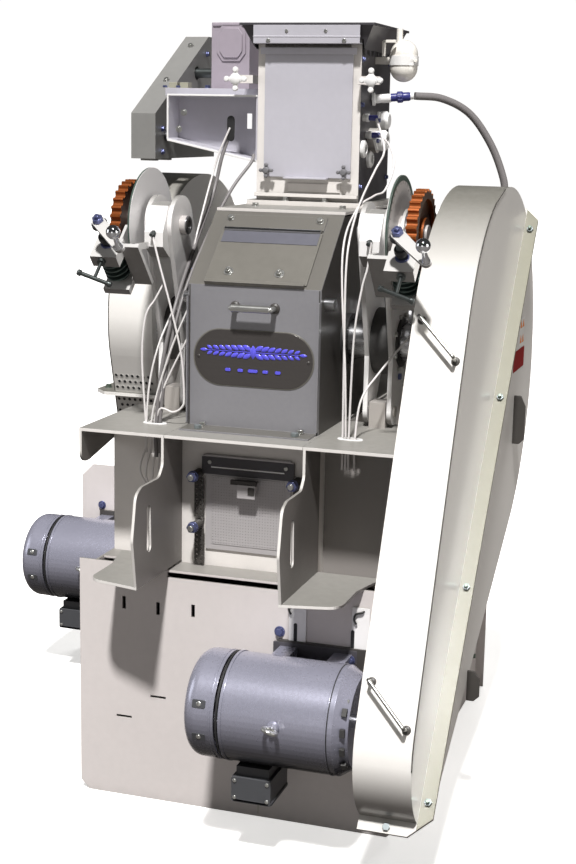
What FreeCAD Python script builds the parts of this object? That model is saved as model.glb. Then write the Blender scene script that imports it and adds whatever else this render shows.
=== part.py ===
import FreeCAD, Part
import math
import os
import re

import Sketcher

# Two-roll grain mill. Frame: X to the right, Y to the rear, Z up from the floor, with the origin in the
# middle of the floor anchor pattern, which is also straight below the nip between the rolls.

doc = FreeCAD.newDocument("grain_mill")
sheet = doc.addObject("Spreadsheet::Sheet", "dims")

DRIVING = {
    # cabinet
    "base_half": 441.5, "base_front": -580, "base_rear": 580, "base_top": 650, "panel": 6,
    "side_face": 415, "corner_cut": 25, "reveal_half": 191, "reveal_drop": 26,
    "flange_wide": 70, "flange_thick": 8, "anchor_x": 375, "anchor_y": 500, "anchor_hole": 9,
    "deck_z": 632, "ledge_z": 638, "ledge_rear": -497, "chute_half": 150,
    "wing_y": 452, "wing_left": -930,
    # core frame and shelves
    "core_half": 184.6, "core_front": -496, "cross_y": -430, "shelf_top": 1010.5, "shelf_thick": 8,
    "shelf_front": -623, "shelf_out": 419.5, "shelf_back": -250, "lip_drop": 92, "bracket_low": 651,
    "bracket_nose": -800, "bracket_foot": 145, "bend": 12, "roll_gap_y": 468, "roll_gap_x": 160,
    # roll housing
    "house_half": 177.8, "house_wall": 12, "house_front": -476.2, "kink_z": 1380.3,
    "crown_y": -282.7, "crown_z": 1556.5, "sheet": 4, "top_plate": 8, "foot_wide": 72,
    "inlet_x": 140, "inlet_y0": -48, "inlet_y1": 230,
    "scraper_y": 436, "scraper_z": 1342, "scraper_pin": 16,
    "bar_z": 1328, "door_half": 137, "door_low": 9, "door_high": 188, "door_gap": 0.6, "door_thick": 4,
    "knuckle_r": 5, "foot_bolt_x": 131, "foot_bolt_in": 49,
    # rolls
    "roll_r": 228.5, "roll_face": 305, "roll_y": 229.5, "roll_z": 1229, "shaft_r": 50,
    "journal_fit": 0.05, "wall_hole": 60, "seal_r": 56, "seal_hole": 53, "seal_thick": 16,
    # swing arms and bearings
    "arm_x": 251, "arm_plate": 12, "arm_gap": 52, "boss_y": -340, "boss_z": 1519, "boss_r": 77,
    "pivot_y": -285, "pivot_z": 1052, "pivot_r": 36, "pivot_pin": 15, "housing_r": 88, "arm_hole": 58,
    # gap adjustment
    "gap_shaft": 25, "dial_x": 338, "dial_thick": 6, "dial_r": 147, "wheel_x": 381, "wheel_wide": 28,
    "wheel_r": 115, "wheel_root": 106, "wheel_teeth": 30, "worm_x": 390, "worm_y": -454, "worm_z": 1415,
    "worm_tilt": 42.2, "worm_r": 36, "worm_core": 25, "worm_half": 36, "screw_r": 10,
    "crank_arm": 128, "crank_up": 154, "ball_r": 18, "ball_up": 62, "lock_up": 66, "lock_reach": 108,
    "lock_bar": 76, "lock_rod": 4.5, "lock_out": 5, "hub_r": 46, "hub_wide": 37, "cheek_x": 356,
    # belt guards
    "guard_in": 427, "guard_out": 565, "guard_skin": 4, "rim_out": 600, "l_rim_out": 627,
    "r_top_y": -62, "r_top_z": 1119, "r_top_r": 515, "r_low_y": -770, "r_low_z": 362, "r_low_r": 200,
    "split_y": -887, "split_z": 204, "split_tilt": 50.2, "split_len": 1790,
    "l_top_y": 272, "l_top_z": 1229, "l_top_r": 403, "l_low_y": 300, "l_low_z": 372, "l_low_r": 200,
    "l_split_z": 1006, "flange_sheet": 5,
    "pull_x0": 450, "pull_x1": 545, "pull_drop": 88, "pull_reach": 36, "pull_wire": 4.5,
    # drives
    "sheave_r": 276, "belt_thick": 10, "belt_gap": 3, "belt_wide": 60, "sheave_x": 496,
    "small_r": 70, "motor_z": 377, "front_motor_y": -760, "rear_motor_y": 270,
    "motor_r": 134, "motor_cavity": 104, "rotor_r": 99, "motor_shaft": 17.5, "motor_face": 387,
    "motor_body": 316, "fan_cap": 84, "rear_motor_shift": -979,
    # feeder
    "feed_half": 146.9, "feed_front": -49.2, "feed_rear": 262, "feed_low": 1577, "feed_high": 2049,
    "feed_wall": 4, "top_half": 190.5, "top_y0": -86.4, "top_y1": 294.3, "top_z": 2053,
    "hood_z": 1985, "feed_door_half": 125, "feed_door_low": 1642, "feed_door_high": 1985,
    "feed_roll_y": 60, "feed_roll_z": 1745, "feed_roll_r": 45, "feed_shaft": 12,
    "drive_x0": -540, "drive_x1": -465, "drive_sprocket": -502, "gear_y": 300, "gear_z": 1930,
    "side_knob_r": 33, "door_knob_r": 21, "ear_low": 1892, "ear_high": 1914, "knob_z": 1903,
    "inlet_bolt_x": 170, "inlet_bolt_y": 170, "inlet_bolt_r": 5.5,
    "tank_x": 226, "tank_y": 100, "tank_r": 38, "tank_low": 1905, "tank_high": 2018,
    # discharge
    "gate_half": 116, "gate_low": 690, "gate_high": 935, "gate_thick": 4,
}

for row, (alias, number) in enumerate(DRIVING.items(), start=1):
    sheet.set(f"A{row}", alias)
    sheet.set(f"B{row}", str(number))
    sheet.setAlias(f"B{row}", alias)
doc.recompute()

FUNCTIONS = {"sin", "cos", "tan", "sqrt"}
NODES = {}


def bound(text):
    """Write a formula over the sheet's aliases as a FreeCAD expression."""
    return re.sub(r"[a-z_][a-z_0-9]*", lambda m: m[0] if m[0] in FUNCTIONS else "dims." + m[0], text)


def value(item):
    """Number that a formula over the sheet's aliases stands for."""
    if isinstance(item, str):
        result = sheet.evalExpression(bound(item))
        return float(getattr(result, "Value", result))
    return float(item)


def tie(obj, prop, item):
    """Bind one property to a formula, or set it when the size is a plain number."""
    if isinstance(item, str):
        obj.setExpression(prop, bound(item))
    else:
        setattr(obj, prop, item)


def place(obj, at, rotation=None):
    """Put an object at a point given by formulas, with an optional turn."""
    turn = rotation or FreeCAD.Rotation()
    obj.Placement = FreeCAD.Placement(FreeCAD.Vector(*[value(c) for c in at]), turn)
    for axis, item in zip("xyz", at):
        if isinstance(item, str):
            obj.setExpression(f"Placement.Base.{axis}", bound(item))
    return obj


TURN = {
    "X": FreeCAD.Rotation(FreeCAD.Vector(0, 1, 0), 90),
    "Y": FreeCAD.Rotation(FreeCAD.Vector(1, 0, 0), -90),
    "Z": FreeCAD.Rotation(),
}
WORM_TURN = FreeCAD.Rotation(FreeCAD.Vector(1, 0, 0), DRIVING["worm_tilt"])


def box(name, size, at, rotation=None):
    obj = doc.addObject("Part::Box", name)
    for prop, item in zip(("Length", "Width", "Height"), size):
        tie(obj, prop, item)
    return place(obj, at, rotation)


def span(name, xs, ys, zs):
    """Box between two formulas on each axis."""
    size = [f"({b}) - ({a})" for a, b in (xs, ys, zs)]
    return box(name, size, [str(a) for a in (xs[0], ys[0], zs[0])])


def rod(name, radius, length, at, axis="X"):
    obj = doc.addObject("Part::Cylinder", name)
    tie(obj, "Radius", radius)
    tie(obj, "Height", length)
    return place(obj, at, TURN.get(axis, axis) if isinstance(axis, str) else axis)


def cone(name, r1, r2, length, at, axis="X"):
    obj = doc.addObject("Part::Cone", name)
    tie(obj, "Radius1", r1)
    tie(obj, "Radius2", r2)
    tie(obj, "Height", length)
    return place(obj, at, TURN[axis] if isinstance(axis, str) else axis)


def ball(name, radius, at):
    obj = doc.addObject("Part::Sphere", name)
    tie(obj, "Radius", radius)
    return place(obj, at)


def fuse(name, shapes):
    obj = doc.addObject("Part::MultiFuse", name)
    obj.Shapes = shapes
    return obj


def cut(name, base, tools):
    obj = doc.addObject("Part::Cut", name)
    obj.Base = base
    obj.Tool = tools[0] if len(tools) == 1 else fuse(name + "_tools", tools)
    return obj


def common(name, base, tool):
    obj = doc.addObject("Part::Common", name)
    obj.Base = base
    obj.Tool = tool
    return obj


def mirrored(name, source):
    """Mirror image of an object in the X = 0 plane."""
    obj = doc.addObject("Part::Mirroring", name)
    obj.Source = source
    obj.Normal = FreeCAD.Vector(1, 0, 0)
    return obj


def group(name, parts):
    obj = doc.addObject("Part::Compound", name)
    obj.Links = parts
    return obj


def node(name, obj):
    """Register an object as a finished sub-part."""
    obj.Label = name
    NODES[name] = obj
    return obj


# Sketched bodies -------------------------------------------------------------------------------------

PLANES = {"XY": "XY_Plane", "XZ": "XZ_Plane", "YZ": "YZ_Plane"}


def pin_point(sketch, geo, pos, x, y):
    """Hold one sketch point at a place given by formulas."""
    for kind, item in (("DistanceX", x), ("DistanceY", y)):
        index = sketch.addConstraint(Sketcher.Constraint(kind, -1, 1, geo, pos, value(item)))
        if isinstance(item, str):
            sketch.setExpression(f"Constraints[{index}]", bound(item))


def draw_polygon(sketch, corners):
    points = [FreeCAD.Vector(value(x), value(y), 0) for x, y in corners]
    first = sketch.GeometryCount
    for start, end in zip(points, points[1:] + points[:1]):
        sketch.addGeometry(Part.LineSegment(start, end), False)
    count = len(points)
    for i, (x, y) in enumerate(corners):
        previous = first + (i - 1) % count
        sketch.addConstraint(Sketcher.Constraint("Coincident", previous, 2, first + i, 1))
        pin_point(sketch, first + i, 1, x, y)


def draw_circle(sketch, x, y, radius):
    centre = FreeCAD.Vector(value(x), value(y), 0)
    geo = sketch.addGeometry(Part.Circle(centre, FreeCAD.Vector(0, 0, 1), value(radius)), False)
    pin_point(sketch, geo, 3, x, y)
    index = sketch.addConstraint(Sketcher.Constraint("Radius", geo, value(radius)))
    if isinstance(radius, str):
        sketch.setExpression(f"Constraints[{index}]", bound(radius))


def draw_hull(sketch, first_circle, second_circle):
    """Outline around two circles: two arcs joined by their common outer tangents."""
    (x1, y1, r1), (x2, y2, r2) = [[value(c) for c in circle] for circle in (first_circle, second_circle)]
    along = math.atan2(y2 - y1, x2 - x1)
    lean = math.acos((r1 - r2) / math.hypot(x2 - x1, y2 - y1))
    ends = []
    for x, y, r in ((x1, y1, r1), (x2, y2, r2)):
        for side in (lean, -lean):
            angle = along + side
            ends.append(FreeCAD.Vector(x + r * math.cos(angle), y + r * math.sin(angle), 0))
    up = FreeCAD.Vector(0, 0, 1)
    big = Part.ArcOfCircle(Part.Circle(FreeCAD.Vector(x1, y1, 0), up, r1), along + lean,
                           along - lean + 2 * math.pi)
    small = Part.ArcOfCircle(Part.Circle(FreeCAD.Vector(x2, y2, 0), up, r2), along - lean, along + lean)
    arc1 = sketch.addGeometry(big, False)
    arc2 = sketch.addGeometry(small, False)
    line1 = sketch.addGeometry(Part.LineSegment(ends[1], ends[3]), False)
    line2 = sketch.addGeometry(Part.LineSegment(ends[2], ends[0]), False)
    for one, end_one, two, end_two in ((arc1, 2, line1, 1), (line1, 2, arc2, 1), (arc2, 2, line2, 1),
                                       (line2, 2, arc1, 1)):
        sketch.addConstraint(Sketcher.Constraint("Tangent", one, end_one, two, end_two))
    for arc, circle in ((arc1, first_circle), (arc2, second_circle)):
        pin_point(sketch, arc, 3, circle[0], circle[1])
        index = sketch.addConstraint(Sketcher.Constraint("Radius", arc, value(circle[2])))
        if isinstance(circle[2], str):
            sketch.setExpression(f"Constraints[{index}]", bound(circle[2]))


def sketched(name, plane, loops, length, at=(0, 0, 0), rotation=None, rounds=None):
    """Body padded from a sketch. The pad grows along +Z, +Y or +X for the XY, XZ or YZ plane."""
    body = doc.addObject("PartDesign::Body", name)
    sketch = body.newObject("Sketcher::SketchObject", name + "_sketch")
    base = [f for f in body.Origin.OriginFeatures if f.Role == PLANES[plane]][0]
    sketch.AttachmentSupport = (base, [""])
    sketch.MapMode = "FlatFace"
    for kind, *data in loops:
        {"poly": draw_polygon, "circle": draw_circle, "hull": draw_hull}[kind](sketch, *data)
    doc.recompute()
    pad = body.newObject("PartDesign::Pad", name + "_pad")
    pad.Profile = sketch
    tie(pad, "Length", length)
    pad.Reversed = plane == "XZ"
    doc.recompute()
    for radius, corners in (rounds or {}).items():
        fillet = body.newObject("PartDesign::Fillet", f"{name}_round_{radius}")
        fillet.Base = (pad, corner_edges(pad.Shape, plane, corners))
        tie(fillet, "Radius", radius)
        doc.recompute()
        pad = fillet
    body.Tip = pad
    return place(body, at, rotation)


def corner_edges(shape, plane, corners):
    """Names of the pad's edges that stand on the given outline corners."""
    first, second = {"XY": ("x", "y"), "XZ": ("x", "z"), "YZ": ("y", "z")}[plane]
    names = []
    for x, y in corners:
        u, v = value(x), value(y)
        for index, edge in enumerate(shape.Edges, start=1):
            points = [vertex.Point for vertex in edge.Vertexes]
            if len(points) == 2 and all(math.hypot(getattr(p, first) - u, getattr(p, second) - v) < 0.01
                                        for p in points):
                names.append(f"Edge{index}")
    return names


def rect(x0, y0, x1, y1):
    return ("poly", [(x0, y0), (x1, y0), (x1, y1), (x0, y1)])


# Cabinet ---------------------------------------------------------------------------------------------

def build_cabinet():
    slots = [(-313.8, 542), (-216.8, 536), (-118.5, 541), (163.2, 514), (313.9, 514)]
    front = sketched("base_front", "XZ", [
        ("poly", [("-base_half + corner_cut", 0), ("base_half - corner_cut", 0),
                  ("base_half", "corner_cut"), ("base_half", 215), ("side_face + 8", 215),
                  ("side_face + 8", "base_top"), ("reveal_half", "base_top"),
                  ("reveal_half", "base_top - reveal_drop"), ("-reveal_half", "base_top - reveal_drop"),
                  ("-reveal_half", "base_top"), ("-base_half", "base_top"), ("-base_half", "corner_cut")]),
    ] + [rect(x - 5, z - 17, x + 5, z + 17) for x, z in slots]
        + [rect(x - 22, z - 3, x + 22, z + 3) for x, z in ((-216, 291), (-314, 224))],
        "panel", at=(0, "base_front", 0))
    node("base_front_plate", front)

    sides = []
    for side in (-1, 1):
        sides.append(span(f"side_{side}", (f"{side} * side_face - panel / 2 - {side} * panel / 2",
                                           f"{side} * side_face + panel / 2 - {side} * panel / 2"),
                          ("base_front + panel", "base_rear - panel"), ("0", "base_top - 12")))
        inner = "side_face - panel - flange_wide"
        plate = span(f"floor_flange_{side}",
                     (inner, "side_face - panel") if side > 0 else ("panel - side_face", f"-({inner})"),
                     ("base_front + panel", "base_rear - panel"), ("0", "flange_thick"))
        holes = [rod(f"anchor_{side}_{end}", "anchor_hole", "flange_thick + 2",
                     (f"{side} * anchor_x", f"{end} * anchor_y", -1), "Z") for end in (-1, 1)]
        sides.append(cut(f"anchored_flange_{side}", plate, holes))
    rear = span("base_back", ("-side_face - 8", "base_half"), ("base_rear - panel", "base_rear"),
                ("0", "base_top"))
    node("base_panels", group("base_panels", sides + [rear]))

    deck = sketched("deck", "XY", [
        rect("-side_face + panel", "ledge_rear", "side_face - panel", "base_rear - panel"),
        rect("-chute_half - 8", "-chute_half", "chute_half + 8", "chute_half")], "panel",
        at=(0, 0, "deck_z"))
    ledge = span("ledge", ("-reveal_half", "reveal_half"), ("base_front + 1", "ledge_rear"),
                 ("ledge_z", "ledge_z + panel"))
    web = span("ledge_web", ("-reveal_half", "reveal_half"), ("ledge_rear - panel", "ledge_rear"),
               ("deck_z", "ledge_z"))
    node("base_deck", fuse("base_deck", [deck, ledge, web]))

    wing = sketched("wing", "XZ", [
        ("poly", [("wing_left", 0), ("-guard_out - 20", 0), ("-guard_out - 20", "base_top"),
                  ("wing_left + 40", "base_top"), ("wing_left", "base_top - 40")])],
        "panel", at=(0, "wing_y", 0))
    brace = span("wing_brace", ("-guard_out - 26", "-guard_out - 20"), ("wing_y + panel", "wing_y + 90"),
                 ("0", "base_top"))
    tie_bar = span("wing_tie", ("-guard_out - 26", "-side_face"), ("wing_y + 84", "wing_y + 90"),
                   ("0", "base_top / 2"))
    node("motor_wing_plate", fuse("motor_wing_plate", [wing, brace, tie_bar]))


def build_core():
    plates = []
    for side in (-1, 1):
        plates.append(span(f"core_side_{side}",
                           (f"{side} * (core_half - 3) - 3", f"{side} * (core_half - 3) + 3"),
                           ("core_front", "-core_front"), ("ledge_z", "shelf_top - shelf_thick")))
    front = sketched("core_front_panel", "XZ", [
        rect("-core_half + 6", "ledge_z", "core_half - 6", "shelf_top - shelf_thick"),
        rect("-gate_half + 12", "gate_low + 12", "gate_half - 12", "gate_high - 12")],
        "panel", at=(0, "core_front", 0))
    back = sketched("core_back_panel", "XZ", [
        rect("-core_half + 6", "ledge_z", "core_half - 6", "shelf_top - shelf_thick")],
        "panel", at=(0, "-core_front - panel", 0))
    plates += [front, back]
    for side in (-1, 1):
        for end in (-1, 1):
            xs = ("core_half", "side_face - panel") if side > 0 else ("panel - side_face", "-core_half")
            ys = ("cross_y", "cross_y + panel") if end < 0 else ("-cross_y - panel", "-cross_y")
            plates.append(span(f"cross_panel_{side}_{end}", xs, ys, ("ledge_z", "shelf_top - shelf_thick")))
    node("core_panels", group("core_panels", plates))


def s_curve_side(name, x):
    """Upright of a shelf bracket: full under the shelf, waisted, then forward again as a wide foot."""
    corners = [("shelf_front", "shelf_top - shelf_thick / 2"), ("core_front", "shelf_top - shelf_thick / 2"),
               ("core_front", "bracket_low + 2"), ("bracket_nose + 8", "bracket_low + 2"),
               ("bracket_nose - 14", "bracket_low + 130"), ("bracket_nose + 8", "shelf_top - 118"),
               ("bracket_nose + 42", "shelf_top - 105"), ("shelf_front - 24", "shelf_top - 105"),
               ("shelf_front", "shelf_top - 78")]
    grip = ("hull", ("base_front - 135", "bracket_low + 92", 14), ("base_front - 137", "bracket_low + 188", 11))
    return sketched(name, "YZ", [("poly", corners), grip], 7, at=(x, 0, 0),
                    rounds={"34": corners[4:6], "22": [corners[6], corners[7], corners[8]]})


def build_shelves():
    middle = sketched("shelf_middle", "XY", [
        rect("-core_half + 1", "shelf_front", "core_half - 1", "-shelf_front"),
        rect("-roll_gap_x", "-roll_gap_y", "roll_gap_x", "roll_gap_y")],
        "shelf_thick", at=(0, 0, "shelf_top - shelf_thick"))
    node("shelf_center", middle)

    top = sketched("shelf_wing", "XY", [
        ("poly", [("core_half", "shelf_front"), ("shelf_out", "shelf_front"), ("shelf_out", "shelf_back"),
                  ("core_half", "shelf_back")]),
        ("hull", (243, -487, 8), (289, -487, 8))],
        "shelf_thick", at=(0, 0, "shelf_top - shelf_thick"))
    lip = sketched("shelf_lip", "YZ", [
        ("poly", [("shelf_front", "shelf_top"), ("shelf_back", "shelf_top"),
                  ("shelf_back", "shelf_top - 30"), ("shelf_front + 45", "shelf_top - lip_drop"),
                  ("shelf_front", "shelf_top - lip_drop")])], 7, at=("shelf_out - 7", 0, 0),
        rounds={"30": [("shelf_front", "shelf_top - lip_drop")]})
    upright = s_curve_side("bracket_upright", "core_half")
    foot = sketched("bracket_foot_plate", "XY", [
        ("poly", [("core_half", "bracket_nose + 6"), ("core_half + bracket_foot", "bracket_nose + 40"),
                  ("core_half + bracket_foot", "base_front - 40"), ("core_half + 175", "core_front"),
                  ("core_half", "core_front")])], 7, at=(0, 0, "bracket_low"),
        rounds={"45": [("core_half + bracket_foot", "bracket_nose + 40")]})
    right = fuse("shelf_bracket_right", [top, lip, upright, foot])
    parts = [right, mirrored("shelf_bracket_left", right)]
    for side in (-1, 1):
        depth = ("-core_front - 60", "-shelf_front")
        rear_top = span(f"rear_shelf_{side}", ("core_half", "side_face - 2"), depth,
                        ("shelf_top - shelf_thick", "shelf_top"))
        rear_web = span(f"rear_web_{side}", ("core_half", "core_half + 7"), depth,
                        ("ledge_z + 14", "shelf_top - shelf_thick"))
        piece = fuse(f"rear_bracket_{side}", [rear_top, rear_web])
        parts.append(piece if side > 0 else mirrored("rear_bracket_left", piece))
    node("shelf_brackets", group("shelf_brackets", parts))


# Roll housing ----------------------------------------------------------------------------------------

def build_housing():
    side_outline = [("house_front + sheet", "shelf_top"), ("house_front + sheet", "kink_z - 2"),
                    ("crown_y + 3", "crown_z - sheet"), ("-crown_y - 3", "crown_z - sheet"),
                    ("-house_front - sheet", "kink_z - 2"), ("-house_front - sheet", "shelf_top")]
    sides = []
    for side in (-1, 1):
        x = "house_half - house_wall" if side > 0 else "-house_half"
        sides.append(sketched(f"housing_side_{side}", "YZ", [
            ("poly", side_outline), ("circle", "-roll_y", "roll_z", "wall_hole"),
            ("circle", "roll_y", "roll_z", "wall_hole"),
            ("circle", "-scraper_y", "scraper_z", "scraper_pin + 0.5"),
            ("circle", "scraper_y", "scraper_z", "scraper_pin + 0.5")], "house_wall", at=(x, 0, 0)))
    node("housing_side_plates", group("housing_side_plates", sides))

    # Front sheet: upright face, slanted face with the door opening, foot flange with its bolts' holes.
    slant = sketched("front_fold", "YZ", [("poly", [
        ("house_front", "shelf_top"), ("house_front", "kink_z"), ("crown_y", "crown_z"),
        ("crown_y + 2.7", "crown_z - 2.95"), ("house_front + sheet", "kink_z - 1.8"),
        ("house_front + sheet", "shelf_top")])], "2 * house_half", at=("-house_half", 0, 0))
    slope = FreeCAD.Rotation(FreeCAD.Vector(1, 0, 0), slant_angle())
    opening = box("door_opening", ("2 * door_half - 24", "door_high - door_low - 24", 40),
                  ("-door_half + 12", slant_point(value("door_low + 12"))[0],
                   slant_point(value("door_low + 12"))[1]), slope)
    opening.Placement.Base = opening.Placement.Base - slope.multVec(FreeCAD.Vector(0, 0, 20))
    flange = sketched("housing_foot", "XY", [
        rect("-house_half + 4", "house_front - foot_wide", "house_half - 4", "house_front + sheet"),
        ("circle", "-foot_bolt_x", "house_front - foot_bolt_in", 6.6),
        ("circle", "foot_bolt_x", "house_front - foot_bolt_in", 6.6)],
        "sheet", at=(0, 0, "shelf_top"))
    front = cut("housing_front_open", fuse("housing_front_fold", [slant, flange]), [opening])
    rear_fold = sketched("rear_fold", "YZ", [("poly", [
        ("-house_front", "shelf_top"), ("-house_front", "kink_z"), ("-crown_y", "crown_z"),
        ("-crown_y - 2.7", "crown_z - 2.95"), ("-house_front - sheet", "kink_z - 1.8"),
        ("-house_front - sheet", "shelf_top")])], "2 * house_half", at=("-house_half", 0, 0))
    half, high = value("door_half"), value("door_high")
    fixed_leaf = slanted_box("hinge_fixed_leaf", -half, half, high + 11, high + 58, 0, 4)
    node("housing_sheets", group("housing_sheets", [front, rear_fold, fixed_leaf]))

    lid = sketched("housing_lid", "XY", [
        rect("-house_half", "crown_y + 6", "house_half", "-crown_y - 6"),
        rect("-inlet_x", "inlet_y0 + 12", "inlet_x", "inlet_y1")], "top_plate",
        at=(0, 0, "crown_z"))
    node("housing_top_plate", lid)

    # Inspection door on the slanted face, carried by a hinge along its upper edge.
    low, gap = value("door_low"), value("door_gap")
    outer = gap + value("door_thick")
    door = slanted_box("door_leaf", -half, half, low, high, gap, outer)
    lip = slanted_box("door_lip", -half + 4, half - 4, low - 9, low, gap, outer + 8)
    knuckle_y, knuckle_z = slant_point(high + value("knuckle_r"), value("knuckle_r") + gap)
    knuckle = rod("door_knuckle", "knuckle_r", "2 * door_half - 8", ("-door_half + 4", knuckle_y, knuckle_z))
    strap = slanted_box("door_strap", -half + 4, half - 4, high - 6, high + value("knuckle_r"), 2, outer)
    node("inspection_door", fuse("inspection_door", [door, lip, knuckle, strap]))

    bar = rod("bar_grip", 7, 106, (-50, "house_front - 34", "bar_z"), "X")
    legs = [rod(f"bar_leg_{x}", 7, 34, (x, "house_front - 34", "bar_z"), "Y") for x in (-50, 56)]
    ends = [ball(f"bar_end_{x}", 7, (x, "house_front - 34", "bar_z")) for x in (-50, 56)]
    handles = [fuse("housing_bar", [bar] + legs + ends)]
    handles += [wire_pull("upper_pull", 1328), wire_pull("lower_pull", 540)]
    node("pull_handles", group("pull_handles", handles))

    seals = []
    for side in (-1, 1):
        for y in ("-roll_y", "roll_y"):
            x = "house_half" if side > 0 else "-house_half - seal_thick"
            outer = rod(f"seal_ring_{side}{y}", "seal_r + 12", "seal_thick", (x, y, "roll_z"))
            bore = rod(f"seal_bore_{side}{y}", "seal_hole", "seal_thick + 2", (f"{x} - 1", y, "roll_z"))
            seals.append(cut(f"seal_{side}{y}", outer, [bore]))
    node("shaft_seals", group("shaft_seals", seals))

    scrapers = []
    for end in (-1, 1):
        bar_y = ("-scraper_y - 22", "-scraper_y - 12") if end < 0 else ("scraper_y + 12", "scraper_y + 22")
        blade_y = ("-scraper_y - 16", "-scraper_y - 13") if end < 0 else ("scraper_y + 13", "scraper_y + 16")
        stubs = [rod(f"scraper_stub_{end}{x[:1]}", "scraper_pin", 41, (x, f"{end} * scraper_y", "scraper_z"))
                 for x in ("-203", "162")]
        bar = span(f"scraper_bar_{end}", ("-164", "164"), bar_y, ("scraper_z - 12", "scraper_z + 14"))
        blade = span(f"scraper_blade_{end}", ("-roll_face / 2", "roll_face / 2"), blade_y,
                     ("scraper_z - 40", "scraper_z"))
        scrapers.append(fuse(f"scraper_{end}", stubs + [bar, blade]))
    node("roll_scrapers", group("roll_scrapers", scrapers))


def slant_angle():
    """Tilt of the slanted face from level, in degrees."""
    return math.degrees(math.atan2(value("crown_z - kink_z"), value("crown_y - house_front")))


def slant_point(along, out=0.0):
    """Y and Z of a point on the slanted face, measured up it from the kink and out from its surface."""
    tilt = math.radians(slant_angle())
    y = value("house_front") + along * math.cos(tilt) - out * math.sin(tilt)
    z = value("kink_z") + along * math.sin(tilt) + out * math.cos(tilt)
    return y, z


def slanted_box(name, x0, x1, low, high, inner, outer):
    """Box lying on the slanted face between two distances up it and two heights above it."""
    y, z = slant_point(low, inner)
    slope = FreeCAD.Rotation(FreeCAD.Vector(1, 0, 0), slant_angle())
    return box(name, (x1 - x0, high - low, outer - inner), (x0, y, z), slope)


def rim_point(x, z, out):
    """Point on the straight front rim of the right-hand guard, stood off the sheet by out."""
    rise, run = value("r_top_z - r_low_z"), value("r_top_y - r_low_y")
    slope = math.atan2(rise, run) + math.asin(value("r_top_r - r_low_r") / math.hypot(rise, run))
    start_y = value("r_low_y") - value("r_low_r") * math.sin(slope)
    start_z = value("r_low_z") + value("r_low_r") * math.cos(slope)
    y = start_y + (z - start_z) / math.tan(slope)
    return FreeCAD.Vector(x, y - out * math.sin(slope), z + out * math.cos(slope))


def wire_pull(name, z_high):
    """Bent wire pull set diagonally across the front rim of the right-hand guard."""
    reach, drop = value("pull_reach"), value("pull_drop")
    x0, x1 = value("pull_x0"), value("pull_x1")
    points = [rim_point(x0, z_high, 0.3), rim_point(x0, z_high, reach),
              rim_point(x1, z_high - drop, reach), rim_point(x1, z_high - drop, 0.3)]
    ring = Part.Wire(Part.makeCircle(value("pull_wire"), points[0], points[1] - points[0]))
    obj = doc.addObject("Part::Feature", name)
    obj.Shape = Part.Wire(Part.makePolygon(points).Edges).makePipeShell([ring], True, False, 2)
    return obj


# Rolls, arms and bearings ----------------------------------------------------------------------------

def build_rolls():
    for name, sign, x0, x1 in (("front_roll", -1, "-arm_x - 100", "guard_out - 38"),
                               ("rear_roll", 1, "-guard_out + 38", "arm_x + 100")):
        y = f"{sign} * roll_y"
        barrel = rod(name + "_barrel", "roll_r", "roll_face", ("-roll_face / 2", y, "roll_z"))
        shaft = rod(name + "_shaft", "shaft_r", f"({x1}) - ({x0})", (x0, y, "roll_z"))
        node(name, fuse(name, [barrel, shaft]))
    node("front_roll_sheave", sheave("front_roll_sheave", "sheave_r", "shaft_r", "-roll_y", "roll_z",
                                     "sheave_x", spokes=True))
    node("rear_roll_sheave", sheave("rear_roll_sheave", "sheave_r", "shaft_r", "roll_y", "roll_z",
                                    "-sheave_x", spokes=True))


def sheave(name, radius, bore, y, z, x, spokes=False):
    """Belt pulley centred on x: a floor for the belts between two flanges."""
    half = "(belt_wide / 2 + 8)"
    floor = rod(name + "_floor", f"{radius} - belt_thick / 2 - belt_gap", f"2 * {half}",
                (f"{x} - {half}", y, z))
    rims = [rod(f"{name}_rim_{side}", f"{radius} + belt_thick / 2", 5,
                (f"{x} - {half}" if side < 0 else f"{x} + {half} - 5", y, z)) for side in (-1, 1)]
    tools = [rod(name + "_bore", bore, f"2 * {half} + 2", (f"{x} - {half} - 1", y, z))]
    if spokes:
        for side in (-1, 1):
            start = f"{x} - {half} - 1" if side < 0 else f"{x} + 10"
            outer = rod(f"{name}_dish_{side}", f"{radius} - 32", f"{half} - 9", (start, y, z))
            hub = rod(f"{name}_hub_{side}", f"{bore} + 38", f"{half} - 9", (start, y, z))
            tools.append(cut(f"{name}_recess_{side}", outer, [hub]))
    return cut(name, fuse(name + "_disc", [floor] + rims), tools)


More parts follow.
